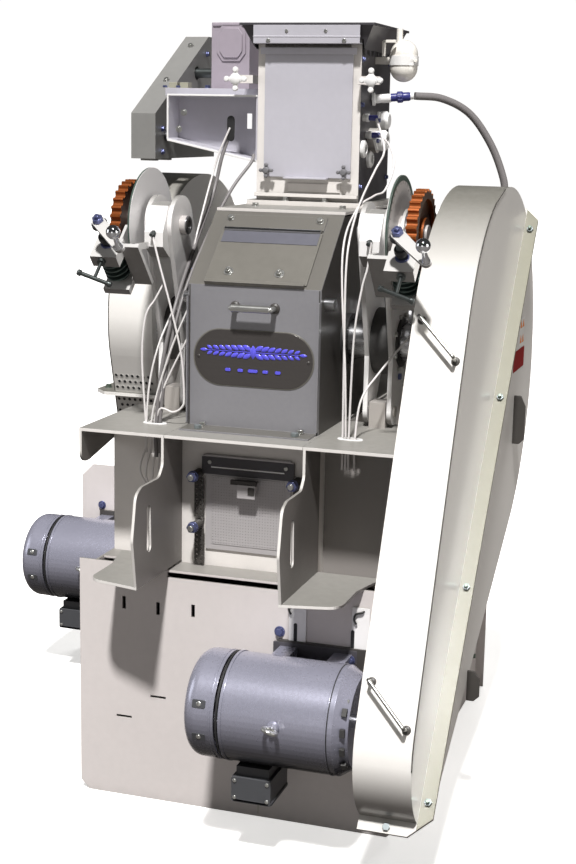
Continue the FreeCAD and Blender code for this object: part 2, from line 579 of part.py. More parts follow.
def arm_side():
    """Right-hand swing arm: two plates with a spacer block between them at the top boss."""
    plates = []
    boss = ("boss_y", "boss_z")
    for x in ("arm_x", "arm_x + arm_plate + arm_gap"):
        upper = sketched(f"arm_upper_{x[-3:]}", "YZ", [
            ("hull", (*boss, "boss_r"), ("-roll_y", "roll_z", 92)),
            ("circle", *boss, "gap_shaft + journal_fit"), ("circle", "-roll_y", "roll_z", "arm_hole")],
            "arm_plate", at=(x, 0, 0))
        lower = sketched(f"arm_lower_{x[-3:]}", "YZ", [
            ("hull", ("-roll_y", "roll_z", 86), ("pivot_y", "pivot_z", "pivot_r")),
            ("circle", "-roll_y", "roll_z", "arm_hole"),
            ("circle", "pivot_y", "pivot_z", "pivot_pin + journal_fit")],
            "arm_plate", at=(x, 0, 0))
        plates.append(fuse(f"arm_plate_{x[-3:]}", [upper, lower]))
    block = sketched("arm_block", "YZ", [
        ("poly", [("boss_y - 104", "boss_z - 14"), ("boss_y - 70", "boss_z + 52"), ("boss_y", "boss_z + 60"),
                  ("boss_y + 55", "boss_z + 20"), ("boss_y + 50", "boss_z - 62"),
                  ("boss_y - 60", "boss_z - 82"), ("boss_y - 104", "boss_z - 52")]),
        ("circle", *boss, "gap_shaft + journal_fit")], "arm_gap", at=("arm_x + arm_plate", 0, 0))
    return fuse("arm_right", plates + [block])


def build_arms():
    right = arm_side()
    node("swing_arms", group("swing_arms", [right, mirrored("arm_left", right)]))
    front, rear = [], []
    for side in (-1, 1):
        x = "arm_x + arm_plate" if side > 0 else "-arm_x - arm_plate - arm_gap"
        case = rod(f"front_case_{side}", "housing_r", "arm_gap", (x, "-roll_y", "roll_z"))
        bore = rod(f"front_case_bore_{side}", "shaft_r + journal_fit", "arm_gap + 2",
                   (f"{x} - 1", "-roll_y", "roll_z"))
        front.append(cut(f"front_bearing_{side}", case, [bore]))
        rear.append(sketched(f"rear_block_{side}", "YZ", [
            ("poly", [("roll_y - 70", "shelf_top"), ("roll_y + 70", "shelf_top"),
                      ("roll_y + 96", "roll_z - 20"), ("roll_y + 84", "roll_z + 60"),
                      ("roll_y + 40", "roll_z + 96"), ("roll_y - 40", "roll_z + 96"),
                      ("roll_y - 84", "roll_z + 60"), ("roll_y - 96", "roll_z - 20")]),
            ("circle", "roll_y", "roll_z", "shaft_r + journal_fit")], "arm_gap", at=(x, 0, 0)))
    node("front_bearing_housings", group("front_bearing_housings", front))
    node("rear_bearing_blocks", group("rear_bearing_blocks", rear))


# Gap adjustment --------------------------------------------------------------------------------------

def worm_place(obj, side, x, y, z, turn=None):
    """Place an object by coordinates taken from the worm's centre, z along the worm towards the crank."""
    base = WORM_TURN.multVec(FreeCAD.Vector(x, y, z))
    centre = FreeCAD.Vector(side * value("worm_x"), value("worm_y"), value("worm_z"))
    obj.Placement = FreeCAD.Placement(centre + base, WORM_TURN.multiply(turn or FreeCAD.Rotation()))
    return obj


def worm_box(name, side, xs, ys, zs):
    obj = box(name, (xs[1] - xs[0], ys[1] - ys[0], zs[1] - zs[0]), (0, 0, 0))
    return worm_place(obj, side, xs[0], ys[0], zs[0])


def build_adjusters():
    for side, word in ((1, "right"), (-1, "left")):
        build_dial(side, word)
        build_wheel(side, word)
        build_crank(side, word)
        build_lock(side, word)
    bracket = worm_bracket()
    node("worm_brackets", group("worm_brackets", [bracket, mirrored("worm_bracket_left", bracket)]))


def axial(side, start, length):
    """X where a cylinder starts so that it covers start to start + length on the given side."""
    return start if side > 0 else f"-({start}) - ({length})"


def build_dial(side, word):
    boss = ("boss_y", "boss_z")
    shaft_len = "wheel_x + wheel_wide + 22 - arm_x"
    shaft = rod(f"{word}_gap_shaft", "gap_shaft", shaft_len, (axial(side, "arm_x - 16", shaft_len), *boss))
    disc = rod(f"{word}_dial_disc", "dial_r", "dial_thick", (axial(side, "dial_x", "dial_thick"), *boss))
    hub = rod(f"{word}_dial_hub", "hub_r", "hub_wide", (axial(side, "dial_x + dial_thick", "hub_wide"), *boss))
    node(f"{word}_gap_dial", fuse(f"{word}_gap_dial", [shaft, disc, hub]))


def build_wheel(side, word):
    boss = ("boss_y", "boss_z")
    wide = "wheel_wide"
    start = axial(side, "wheel_x", wide)
    disc = rod(f"{word}_wheel_disc", "wheel_r", wide, (start, *boss))
    tools = [rod(f"{word}_wheel_bore", "gap_shaft", f"{wide} + 2", (f"{start} - 1", *boss))]
    recess_x = "wheel_x + wheel_wide - 10" if side > 0 else "-wheel_x - wheel_wide - 1"
    dish = rod(f"{word}_wheel_dish", "wheel_root - 16", 11, (recess_x, *boss))
    hub = rod(f"{word}_wheel_hub", "gap_shaft + 18", 11, (recess_x, *boss))
    tools.append(cut(f"{word}_wheel_recess", dish, [hub]))
    teeth = int(value("wheel_teeth"))
    for index in range(teeth):
        angle = 2 * math.pi * (index + 0.5) / teeth
        y = value("boss_y") + (value("wheel_r") + 1) * math.cos(angle)
        z = value("boss_z") + (value("wheel_r") + 1) * math.sin(angle)
        tools.append(rod(f"{word}_tooth_gap_{index}", "wheel_r - wheel_root", f"{wide} + 2",
                         (f"{start} - 1", y, z)))
    node(f"{word}_worm_wheel", cut(f"{word}_worm_wheel", disc, tools))


def build_crank(side, word):
    up, half = value("crank_up"), value("worm_half")
    name = f"{word}_crank"
    parts = [worm_place(rod(name + "_screw", "screw_r", up + 24 + half + 26, (0, 0, 0), "Z"),
                        side, 0, 0, -half - 26),
             worm_place(rod(name + "_core", "worm_core", 2 * half, (0, 0, 0), "Z"), side, 0, 0, -half),
             worm_place(rod(name + "_hub", 21, 24, (0, 0, 0), "Z"), side, 0, 0, up - 8)]
    pitch = 2 * half / 5
    for index in range(5):
        parts.append(worm_place(rod(f"{name}_thread_{index}", "worm_r", pitch / 2, (0, 0, 0), "Z"),
                                side, 0, 0, -half + pitch * (index + 0.25)))
    diagonal = FreeCAD.Rotation(FreeCAD.Vector(0, 0, 1), -45)
    arm = box(name + "_arm", ("crank_arm", 24, 9), (0, 0, 0))
    offset = diagonal.multVec(FreeCAD.Vector(0, -12, 0))
    parts.append(worm_place(arm, side, offset.x, offset.y, up, diagonal))
    tip = diagonal.multVec(FreeCAD.Vector(value("crank_arm") - 6, 0, 0))
    parts.append(worm_place(rod(name + "_arm_end", 14, 9, (0, 0, 0), "Z"), side, tip.x, tip.y, up))
    neck = cone(name + "_neck", 11, 7, value("ball_up") - 12, (0, 0, 0), "Z")
    parts.append(worm_place(neck, side, tip.x, tip.y, up + 9))
    knob = ball(name + "_ball", "ball_r", (0, 0, 0))
    parts.append(worm_place(knob, side, tip.x, tip.y, up + value("ball_up")))
    node(name, fuse(name, parts))


def build_lock(side, word):
    reach, up, bar = value("lock_reach"), value("lock_up"), value("lock_bar")
    inward = FreeCAD.Rotation(FreeCAD.Vector(1, 0, 0), 90)
    name = f"{word}_lock_handle"
    out = side * value("lock_out")
    stem = worm_place(rod(name + "_stem", "lock_rod", reach - 14, (0, 0, 0), "Z"), side, out, -14, up, inward)
    nut = worm_place(rod(name + "_nut", 11, 8, (0, 0, 0), "Z"), side, out, -47, up, inward)
    lean = FreeCAD.Rotation(FreeCAD.Vector(0, 1, 0), 90 + 28)
    start = lean.multVec(FreeCAD.Vector(0, 0, -bar / 2))
    cross = worm_place(rod(name + "_bar", "lock_rod + 1", bar, (0, 0, 0), "Z"), side, out + start.x,
                       -reach, up + start.z, lean)
    node(name, fuse(name, [stem, nut, cross]))


def worm_bracket():
    """Right-hand worm bracket: cheek on the dial's hub, two lugs for the screw, plate tied to the arm."""
    fit = value("journal_fit")
    cheek = sketched("bracket_cheek", "YZ", [
        ("hull", ("boss_y", "boss_z", 64), ("worm_y + 30", "worm_z + 27", 30)),
        ("circle", "boss_y", "boss_z", "hub_r + journal_fit")], 8, at=("cheek_x", 0, 0))
    web = worm_box("bracket_web", 1, (-34, -26), (-8, 70), (-60, 80))
    clear = worm_place(rod("bracket_worm_clearance", "worm_r + 3", 86, (0, 0, 0), "Z"), 1, 0, 0, -42)
    plate = worm_box("bracket_plate", 1, (-87, -37), (-8, 4), (-60, 80))
    lugs = [worm_box("bracket_foot_lug", 1, (-38, 36), (-46, 20), (-60, -42)),
            worm_box("bracket_head_lug", 1, (-38, 36), (-46, 20), (44, 80))]
    tie_bar = span("bracket_tie", ("303", "arm_x + arm_plate + arm_gap"), ("-505", "boss_y - 104"),
                   ("1462", "1478"))
    bore = worm_place(rod("bracket_bore", value("screw_r") + fit, 160, (0, 0, 0), "Z"), 1, 0, 0, -70)
    inward = FreeCAD.Rotation(FreeCAD.Vector(1, 0, 0), 90)
    lock_hole = worm_place(rod("bracket_lock_hole", value("lock_rod") + fit, 70, (0, 0, 0), "Z"), 1,
                           value("lock_out"), 0, value("lock_up"), inward)
    return cut("worm_bracket_right", fuse("worm_bracket_body", [cheek, web, plate, tie_bar] + lugs),
               [bore, lock_hole, clear])


# Belt guards and belts -------------------------------------------------------------------------------

def hull_pad(name, top, low, grow, x0, x1):
    circles = [(c[0], c[1], f"{c[2]} + {grow}") for c in (top, low)]
    return sketched(name, "YZ", [("hull", *circles)], f"({x1}) - ({x0})", at=(x0, 0, 0))


def guard_shell(name, top, low, x0, x1, holes):
    """Closed sheet-metal case around two circles, with holes for the shafts."""
    outer = hull_pad(name + "_outer", top, low, "0", x0, x1)
    inner = hull_pad(name + "_inner", top, low, "-1 * guard_skin", f"{x0} + guard_skin", f"{x1} - guard_skin")
    return cut(name + "_shell", outer, [inner] + holes)


def build_guards():
    front = ("r_top_y", "r_top_z", "r_top_r"), ("r_low_y", "r_low_z", "r_low_r")
    holes = [rod("guard_roll_hole_r", 72, 30, ("guard_in - 10", "-roll_y", "roll_z")),
             rod("guard_motor_hole_r", 40, 30, ("guard_in - 10", "front_motor_y", "motor_z"))]
    shell = guard_shell("right_guard", *front, "guard_in", "guard_out", holes)
    tilt = FreeCAD.Rotation(FreeCAD.Vector(1, 0, 0), DRIVING["split_tilt"])
    corner = FreeCAD.Vector(value("guard_in") - 100, value("split_y"), value("split_z"))
    ahead = box("ahead_of_split", (400, "split_len + 200", 1100),
                corner + tilt.multVec(FreeCAD.Vector(0, -100, 0)), tilt)
    behind = box("behind_split", (400, "split_len + 200", 1100),
                 corner + tilt.multVec(FreeCAD.Vector(0, -100, -1100)), tilt)
    for word, half, lift in (("cover", ahead, 0), ("back", behind, -1)):
        part = common(f"right_guard_{word}_shell", shell, half)
        rim = split_flange(f"right_flange_{word}", front, tilt, lift, holes)
        name = f"right_guard_{word}"
        node(name, fuse(name, [part, rim]))

    rear = ("l_top_y", "l_top_z", "l_top_r"), ("l_low_y", "l_low_z", "l_low_r")
    holes = [rod("guard_roll_hole_l", 72, 30, ("-guard_in - 20", "roll_y", "roll_z")),
             rod("guard_motor_hole_l", 40, 30, ("-guard_out - 20", "rear_motor_y", "motor_z"))]
    shell = guard_shell("left_guard", *rear, "-guard_out", "-guard_in", holes)
    above = span("above_split", ("-guard_out - 50", "-guard_in + 50"), ("-400", "900"), ("l_split_z", "1900"))
    below = span("below_split", ("-guard_out - 50", "-guard_in + 50"), ("-400", "900"), ("0", "l_split_z"))
    for word, half, lift in (("upper", above, 0), ("lower", below, -1)):
        part = common(f"left_guard_{word}_shell", shell, half)
        ring = sketched(f"left_flange_{word}", "XY", [
            ("poly", [("-l_rim_out", "l_top_y - l_top_r + 62"), ("-l_rim_out + 40", "l_top_y - l_top_r + 22"),
                      ("-guard_in", "l_top_y - l_top_r + 22"), ("-guard_in", "l_top_y + l_top_r - 22"),
                      ("-l_rim_out", "l_top_y + l_top_r - 22")]),
            rect("-guard_out + guard_skin", "l_top_y - l_top_r + 80", "-guard_in - guard_skin",
                 "l_top_y + l_top_r - 80")],
            "flange_sheet", at=(0, 0, "l_split_z" if lift == 0 else "l_split_z - flange_sheet"))
        name = f"left_guard_{word}"
        node(name, fuse(name, [part, ring]))


def split_flange(name, circles, tilt, lift, holes):
    """Flat flange in the tilted split plane, standing out past the case on its outer side and ends."""
    reach = value("split_len")
    thick = value("flange_sheet")
    plate = sketched(name + "_plate", "XY", [
        ("poly", [("guard_in", -38), ("guard_in + 120", -38), ("rim_out", 12), ("rim_out", reach - 62),
                  ("rim_out - 40", reach - 22), ("guard_in", reach - 22)])], thick)
    plate.Placement = FreeCAD.Placement(FreeCAD.Vector(0, value("split_y"), value("split_z"))
                                        + tilt.multVec(FreeCAD.Vector(0, 0, lift * thick)), tilt)
    core = hull_pad(name + "_core", *circles, "-1 * guard_skin", "guard_in + guard_skin",
                    "guard_out - guard_skin")
    return cut(name + "_open", plate, [core] + holes)


def build_belts():
    for name, side, y, motor_y in (("front_belt", 1, "-roll_y", "front_motor_y"),
                                   ("rear_belt", -1, "roll_y", "rear_motor_y")):
        big, small = (y, "roll_z", "sheave_r"), (motor_y, "motor_z", "small_r")
        x0, x1 = f"{side} * sheave_x - belt_wide / 2", f"{side} * sheave_x + belt_wide / 2"
        outer = hull_pad(name + "_outer", big, small, "belt_thick / 2", x0, x1)
        inner = hull_pad(name + "_inner", big, small, "-belt_thick / 2", f"{x0} - 1", f"{x1} + 1")
        node(name, cut(name, outer, [inner]))


# Motors ----------------------------------------------------------------------------------------------

def motor_parts(word, y, shift, sheave_x):
    """Frame, fan cap, terminal box and mount of one motor, and its rotor and pulley as moving nodes."""
    name = f"{word}_motor"
    face = f"motor_face + {shift}"
    back = f"{face} - motor_body"
    axis = (y, "motor_z")
    barrel = rod(name + "_barrel", "motor_r", "motor_body - 34", (back, *axis))
    bell = cone(name + "_bell", "motor_r", "motor_r - 22", 34, (f"{face} - 34", *axis))
    feet = [span(f"{name}_foot_{k}", (f"{face} - {x}", f"{face} - {x} + 46"), (y, f"{y} + 170"),
                 ("motor_z - 105", "motor_z + 105")) for k, x in enumerate((118, 262))]
    hollow = rod(name + "_hollow", "motor_cavity", "motor_body - 60", (f"{back} + 26", *axis))
    bore = rod(name + "_bore", "motor_shaft + journal_fit", "motor_body + 2", (f"{back} - 1", *axis))
    frame = cut(name + "_frame", fuse(name + "_casting", [barrel, bell] + feet), [hollow, bore])

    cap_x = f"{back} - fan_cap - 14"
    cap = rod(name + "_cap_outer", "motor_r", "fan_cap", (cap_x, *axis))
    cap_round = doc.addObject("Part::Fillet", name + "_cap_round")
    cap_round.Base = cap
    doc.recompute()
    ends = [i for i, e in enumerate(cap.Shape.Edges, start=1)
            if len(e.Vertexes) == 1 and abs(e.BoundBox.XMin - cap.Shape.BoundBox.XMin) < 0.01]
    cap_round.Edges = [(i, 34.0, 34.0) for i in ends]
    pocket = rod(name + "_cap_pocket", "motor_r - 5", "fan_cap - 36", (f"{cap_x} + 37", *axis))
    dish = rod(name + "_cap_dish", "motor_r - 36", "34", (f"{cap_x} + 4", *axis))
    fan_cap = cut(name + "_fan_cap", cap_round, [pocket, dish])

    box_x = f"{back} + 13"
    neck = span(name + "_box_neck", (f"{box_x} + 8", f"{box_x} + 92"), (f"{y} - 56", f"{y} + 56"),
                ("motor_z - 158", "motor_z - 134"))
    case = span(name + "_box_case", (box_x, f"{box_x} + 100"), (f"{y} - 66", f"{y} + 66"),
                ("motor_z - 222", "motor_z - 158"))
    case = fuse(name + "_terminal_box", [neck, case])

    plate = span(name + "_plate", (f"{face} - 268", f"{face} - 28"), (f"{y} + 170", f"{y} + 180"),
                 ("motor_z - 120", "motor_z + 120"))

    shaft = rod(name + "_shaft", "motor_shaft", "motor_body + 203", (f"{back} - 60", *axis))
    core = rod(name + "_core", "rotor_r", "motor_body - 90", (f"{back} + 41", *axis))
    fan = rod(name + "_fan", "motor_r - 40", 12, (f"{back} - 52", *axis))
    node(f"{word}_motor_rotor", fuse(f"{word}_motor_rotor", [shaft, core, fan]))
    node(f"{word}_motor_sheave", sheave(f"{word}_motor_sheave", "small_r", "motor_shaft", y, "motor_z",
                                        sheave_x))
    return frame, fan_cap, case, plate


def build_motors():
    front = motor_parts("front", "front_motor_y", "0", "sheave_x")
    rear = motor_parts("rear", "rear_motor_y", "rear_motor_shift", "-sheave_x")
    for index, name in enumerate(("motor_frames", "motor_fan_covers", "motor_conduit_boxes", "motor_mounts")):
        node(name, group(name, [front[index], rear[index]]))


# Feeder ----------------------------------------------------------------------------------------------

def wedge(name, low_half_x, low_y0, low_y1, top_half_x, top_y0, top_y1, z0, z1):
    """Four-sided funnel block: a rectangle at z0 joined to a rectangle at z1."""
    obj = doc.addObject("Part::Wedge", name)
    sizes = {"Xmin": f"-({low_half_x})", "Xmax": low_half_x, "X2min": f"-({top_half_x})", "X2max": top_half_x,
             "Zmin": f"-({low_y1})", "Zmax": f"-({low_y0})", "Z2min": f"-({top_y1})",
             "Z2max": f"-({top_y0})", "Ymin": z0, "Ymax": z1}
    for prop, item in sizes.items():
        tie(obj, prop, item)
    obj.Placement = FreeCAD.Placement(FreeCAD.Vector(), FreeCAD.Rotation(FreeCAD.Vector(1, 0, 0), 90))
    return obj


def build_feeder():
    tube = sketched("feeder_tube", "XY", [
        rect("-feed_half", "feed_front", "feed_half", "feed_rear"),
        rect("-feed_half + feed_wall", "feed_front + feed_wall", "feed_half - feed_wall",
             "feed_rear - feed_wall")], "feed_high - 8 - feed_low", at=(0, 0, "feed_low"))
    foot = sketched("feeder_foot", "XY", [
        rect("-feed_half - 22", "feed_front - 22", "feed_half + 22", "feed_rear + 14"),
        rect("-feed_half + 8", "feed_front + 8", "feed_half - 8", "feed_rear - 24")],
        "feed_low - crown_z - top_plate", at=(0, 0, "crown_z + top_plate"))
    window = span("feeder_window", ("-feed_door_half + 14", "feed_door_half - 14"),
                  ("feed_front - 1", "feed_front + feed_wall + 1"), ("feed_door_low + 40", "feed_door_high - 20"))
    shaft_hole = rod("feeder_shaft_hole", "feed_shaft + journal_fit", 400,
                     (-200, "feed_roll_y", "feed_roll_z"))
    ears = []
    for side in (-1, 1):
        x = ("feed_half", "feed_half + 62") if side > 0 else ("-feed_half - 62", "-feed_half")
        ears.append(span(f"feeder_ear_{side}", x, ("feed_front - 44", "feed_front - 34"),
                         ("ear_low", "ear_high")))
        x = ("feed_half", "feed_half + 10") if side > 0 else ("-feed_half - 10", "-feed_half")
        ears.append(span(f"feeder_ear_root_{side}", x, ("feed_front - 44", "feed_front + 40"),
                         ("ear_low", "ear_high")))
    bearing = rod("feeder_bearing", 34, 22, ("feed_half", "feed_roll_y", "feed_roll_z"))
    knob_holes = [rod(f"ear_hole_{side}", 4.05, 30, (f"{side} * (feed_half + 44)", "feed_front - 60", "knob_z"),
                      "Y") for side in (-1, 1)]
    body = cut("feeder_body", fuse("feeder_box", [tube, foot, bearing] + ears),
               [window, shaft_hole] + knob_holes)
    node("feeder_body", body)

    rim = sketched("hopper_rim", "XY", [
        rect("-top_half", "top_y0", "top_half", "top_y1"),
        rect("-feed_half + feed_wall", "feed_front + feed_wall", "feed_half - feed_wall",
             "feed_rear - feed_wall"),
        *[("circle", f"{i} * inlet_bolt_x", f"(top_y0 + top_y1) / 2 + {j} * inlet_bolt_y", "inlet_bolt_r")
          for i in (-1, 1) for j in (-1, 1)]], 6, at=(0, 0, "top_z - 6"))
    skirt = wedge("hood_outer", "feed_half + 6", "feed_front - 6", "feed_rear + 6", "top_half - 6",
                  "top_y0 + 6", "top_y1 - 6", "hood_z", "top_z - 6")
    hollow = wedge("hood_inner", "feed_half + 3", "feed_front - 3", "feed_rear + 3", "top_half - 9",
                   "top_y0 + 9", "top_y1 - 9", "hood_z", "top_z - 6")
    clear = span("hood_clear", ("-feed_half - 1", "feed_half + 1"), ("feed_front - 1", "feed_rear + 1"),
                 ("hood_z - 1", "top_z - 6"))
    front_gap = span("hood_front_gap", ("-feed_half - 8", "feed_half + 8"),
                     ("top_y0 - 1", "feed_front"), ("hood_z - 1", "hood_z + 26"))
    node("feeder_hopper_top", fuse("feeder_hopper_top",
                                   [rim, cut("hood_skirt", skirt, [hollow, clear, front_gap])]))

    leaf = sketched("feed_door_leaf", "XZ", [
        rect("-feed_door_half", "feed_door_low", "feed_door_half", "feed_door_high"),
        ("circle", -111, "feed_door_low + 17", 4.05), ("circle", 111, "feed_door_low + 17", 4.05)],
        4, at=(0, "feed_front - 6", 0))
    pin = rod("feed_door_pin", 5, "2 * feed_door_half - 20",
              ("-feed_door_half + 10", "feed_front - 7", "feed_door_high + 3"))
    lip = span("feed_door_lip", (-62, 62), ("feed_front - 26", "feed_front - 2"),
               ("feed_door_low - 4", "feed_door_low"))
    node("feeder_door", fuse("feeder_door", [leaf, pin, lip]))
    for side, word in ((-1, "left"), (1, "right")):
        node(f"door_knob_{word}", star_knob(f"door_knob_{word}", "door_knob_r", side * 111, "feed_front - 20",
                                            "feed_door_low + 17", 18))
        node(f"side_knob_{word}", star_knob(f"side_knob_{word}", "side_knob_r", f"{side} * (feed_half + 44)",
                                            "feed_front - 56", "knob_z", 24))

    drum = rod("feed_drum", "feed_roll_r", "2 * feed_half - 2 * feed_wall - 6",
               ("-feed_half + feed_wall + 3", "feed_roll_y", "feed_roll_z"))
    shaft = rod("feed_shaft_rod", "feed_shaft", "feed_half + 30 - drive_x0 - 12",
                ("drive_x0 + 12", "feed_roll_y", "feed_roll_z"))
    chain_wheel = rod("feed_chain_wheel", 50, 12, ("drive_sprocket - 6", "feed_roll_y", "feed_roll_z"))
    node("feed_roll", fuse("feed_roll", [drum, shaft, chain_wheel]))
    small = rod("drive_chain_wheel", 40, 12, ("drive_sprocket - 6", "gear_y", "gear_z"))
    stub = rod("drive_stub", 14, 150, ("drive_sprocket - 14", "gear_y", "gear_z"))
    node("feeder_drive_sprocket", fuse("feeder_drive_sprocket", [small, stub]))

    gear = span("gear_case", (-380, -262), ("gear_y - 100", "gear_y + 90"), ("gear_z - 50", "gear_z + 142"))
    motor = rod("gear_motor", 74, 170, (-300, "gear_y + 90", "gear_z + 70"), "Y")
    gear_bore = rod("gear_bore", "14 + journal_fit", 60, (-400, "gear_y", "gear_z"))
    node("feeder_gearmotor", cut("feeder_gearmotor", fuse("gear_block", [gear, motor]), [gear_bore]))

    outline = [(-20, 1680), (450, 1680), (450, 2042), (395, 2042), (-20, 1808)]
    inset = [(-17, 1683), (447, 1683), (447, 2039), (396, 2039), (-17, 1806)]
    case = sketched("drive_case", "YZ", [("poly", outline)], "drive_x1 - drive_x0", at=("drive_x0", 0, 0))
    void = sketched("drive_void", "YZ", [("poly", inset)], "drive_x1 - drive_x0 - 6",
                    at=("drive_x0 + 3", 0, 0))
    shaft_gaps = [rod("drive_gap_feed", "feed_shaft + 4", 20, ("drive_x1 - 10", "feed_roll_y", "feed_roll_z")),
                  rod("drive_gap_gear", 20, 20, ("drive_x1 - 10", "gear_y", "gear_z"))]
    node("feeder_drive_guard", cut("feeder_drive_guard", case, [void] + shaft_gaps))

    trough = sketched("channel_trough", "XZ", [
        ("poly", [(-415, 1737), ("-feed_half", 1683), ("-feed_half", 1859), (-415, 1859)])],
        80, at=(0, "feed_front - 2", 0))
    trough_void = sketched("channel_void", "XZ", [
        ("poly", [(-411, 1741), ("-feed_half - 4", 1687), ("-feed_half - 4", 1855), (-411, 1855)])],
        76, at=(0, "feed_front - 3", 0))
    table = span("gear_table", ("-455", "-feed_half"), ("feed_front + 78", "gear_y + 130"),
                 ("1859", "gear_z - 50"))
    cable_slot = span("channel_slot", ("-205", "-189"), ("feed_front + 60", "feed_front + 90"), ("1770", "1812"))
    node("feeder_channel_box", fuse("feeder_channel_box",
                                    [cut("channel_shell", trough, [trough_void, cable_slot]), table]))

    tank = rod("tank_barrel", "tank_r", "tank_high - tank_low - 2 * tank_r", ("tank_x", "tank_y", "tank_low + tank_r"),
               "Z")
    caps = [ball(f"tank_cap_{k}", "tank_r", ("tank_x", "tank_y", z))
            for k, z in enumerate(("tank_low + tank_r", "tank_high - tank_r"))]
    stub = rod("tank_stub", 9, "60", ("tank_x - 14", "tank_y", "tank_high - 30"), "Z")
    strap = span("tank_strap", ("feed_half", "tank_x"), ("tank_y - 9", "tank_y + 9"), ("1952", "1972"))
    node("feeder_tank", fuse("feeder_tank", [tank, stub, strap] + caps))


def star_knob(name, reach, x, y, z, stud):
    """Four-pointed hand knob facing forward, with a stud towards the rear."""
    centre = (value(x), value(z))
    outer = value(reach)
    inner = 0.38 * outer
    points = []
    for index in range(8):
        radius = outer if index % 2 == 0 else inner
        angle = math.pi / 4 * index
        points.append((centre[0] + radius * math.cos(angle), centre[1] + radius * math.sin(angle)))
    star = sketched(name + "_star", "XZ", [("poly", points)], 9, at=(0, f"{y} - 9", 0))
    boss = rod(name + "_boss", 9, 12, (x, f"{y} - 11", z), "Y")
    thread = rod(name + "_thread", 4, stud, (x, y, z), "Y")
    return fuse(name, [star, boss, thread])


# Discharge -------------------------------------------------------------------------------------------

def build_discharge():
    outer = wedge("chute_outer", "chute_half - 8", -105, 105, "roll_gap_x - 8", -440, 440, 600, 992)
    inner = wedge("chute_inner", "chute_half - 12", -101, 101, "roll_gap_x - 12", -436, 436, 599, 993)
    node("discharge_chute", cut("discharge_chute", outer, [inner]))
    leaf = span("gate_leaf", ("-gate_half", "gate_half"), ("core_front - 1 - gate_thick", "core_front - 1"),
                ("gate_low", "gate_high"))
    band = span("gate_band", ("-gate_half - 8", "gate_half + 8"),
                ("core_front - 9", "core_front - 1"), ("gate_high - 34", "gate_high + 6"))
    latch = span("gate_latch", (-34, 30), ("core_front - 34", "core_front - 1"), ("862", "880"))
    latch_tab = span("gate_latch_tab", (-18, 30), ("core_front - 38", "core_front - 30"), ("842", "880"))
    knuckle = rod("gate_knuckle", 4, "2 * gate_half", ("-gate_half", "core_front - 5", "gate_high + 6"))
    node("discharge_door", fuse("discharge_door", [leaf, band, latch, latch_tab, knuckle]))


# Fasteners -------------------------------------------------------------------------------------------

def hex_head(name, x, y, z, rotation, across=18, height=9):
    points = [(across / 2 / math.cos(math.pi / 6) * math.cos(math.pi / 3 * k),
               across / 2 / math.cos(math.pi / 6) * math.sin(math.pi / 3 * k)) for k in range(6)]
    return sketched(name, "XY", [("poly", points)], height, at=(x, y, z), rotation=rotation)


def build_fasteners():
    bolts = []
    for side in (-1, 1):
        bolts.append(hex_head(f"foot_bolt_{side}", side * value("foot_bolt_x"),
                              value("house_front - foot_bolt_in"), value("shelf_top + sheet"),
                              FreeCAD.Rotation()))
    tilt = FreeCAD.Rotation(FreeCAD.Vector(1, 0, 0), DRIVING["split_tilt"])
    spots = [(value("guard_out") + 18, 48 + 548 * index) for index in range(4)] + [(value("sheave_x"), -24)]
    for index, (x, along) in enumerate(spots):
        offset = tilt.multVec(FreeCAD.Vector(0, along, value("flange_sheet")))
        bolts.append(hex_head(f"guard_nut_{index}", x, value("split_y") + offset.y,
                              value("split_z") + offset.z, tilt, 16, 8))
    for side in (-1, 1):
        x0 = "arm_x + arm_plate + 4" if side > 0 else "-arm_x - arm_plate - arm_gap + 4"
        support = span(f"pivot_block_{side}", (x0, f"{x0} + arm_gap - 8"),
                       ("pivot_y - 30", "pivot_y + 30"), ("shelf_top", "pivot_z + 26"))
        axle = rod(f"pivot_axle_{side}", "pivot_pin", "arm_gap + 2 * arm_plate + 8",
                   (f"{x0} - arm_plate - 8", "pivot_y", "pivot_z"))
        bolts.append(fuse(f"arm_pivot_{side}", [support, axle]))
    node("fasteners", group("fasteners", bolts))


def write_parts():
    doc.recompute()
    for obj in doc.Objects:
        if {"Invalid", "Error"} & set(obj.State):
            raise RuntimeError(f"{obj.Name} did not build: {obj.State}")
    os.makedirs("parts", exist_ok=True)
    for name, obj in NODES.items():
        if obj.Shape.isNull() or not obj.Shape.isValid():
            raise RuntimeError(f"{name} has no valid shape")
        obj.Shape.exportStep(f"parts/{name}.step")


build_cabinet()
build_core()
build_shelves()
build_housing()
build_rolls()
build_arms()
build_adjusters()
build_guards()
build_belts()
build_motors()
build_feeder()
build_discharge()
build_fasteners()
write_parts()
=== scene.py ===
"""Looks of the grain mill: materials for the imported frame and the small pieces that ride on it."""

import math
import random

import bmesh
import bpy
from mathutils import Matrix, Vector


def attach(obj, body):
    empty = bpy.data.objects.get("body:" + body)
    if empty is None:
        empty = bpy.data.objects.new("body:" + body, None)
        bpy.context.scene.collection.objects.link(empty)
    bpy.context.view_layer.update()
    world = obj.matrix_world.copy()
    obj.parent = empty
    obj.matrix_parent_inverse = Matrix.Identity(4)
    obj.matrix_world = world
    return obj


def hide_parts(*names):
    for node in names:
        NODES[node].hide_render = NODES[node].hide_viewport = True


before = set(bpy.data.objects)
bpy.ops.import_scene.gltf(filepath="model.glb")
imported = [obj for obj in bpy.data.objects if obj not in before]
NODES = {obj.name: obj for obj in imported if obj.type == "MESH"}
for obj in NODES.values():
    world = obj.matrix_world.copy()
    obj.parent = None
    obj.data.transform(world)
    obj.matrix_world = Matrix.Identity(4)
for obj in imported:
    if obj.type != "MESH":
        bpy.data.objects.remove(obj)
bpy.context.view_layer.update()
random.seed(7)
MM = 0.001


# Materials -------------------------------------------------------------------------------------------

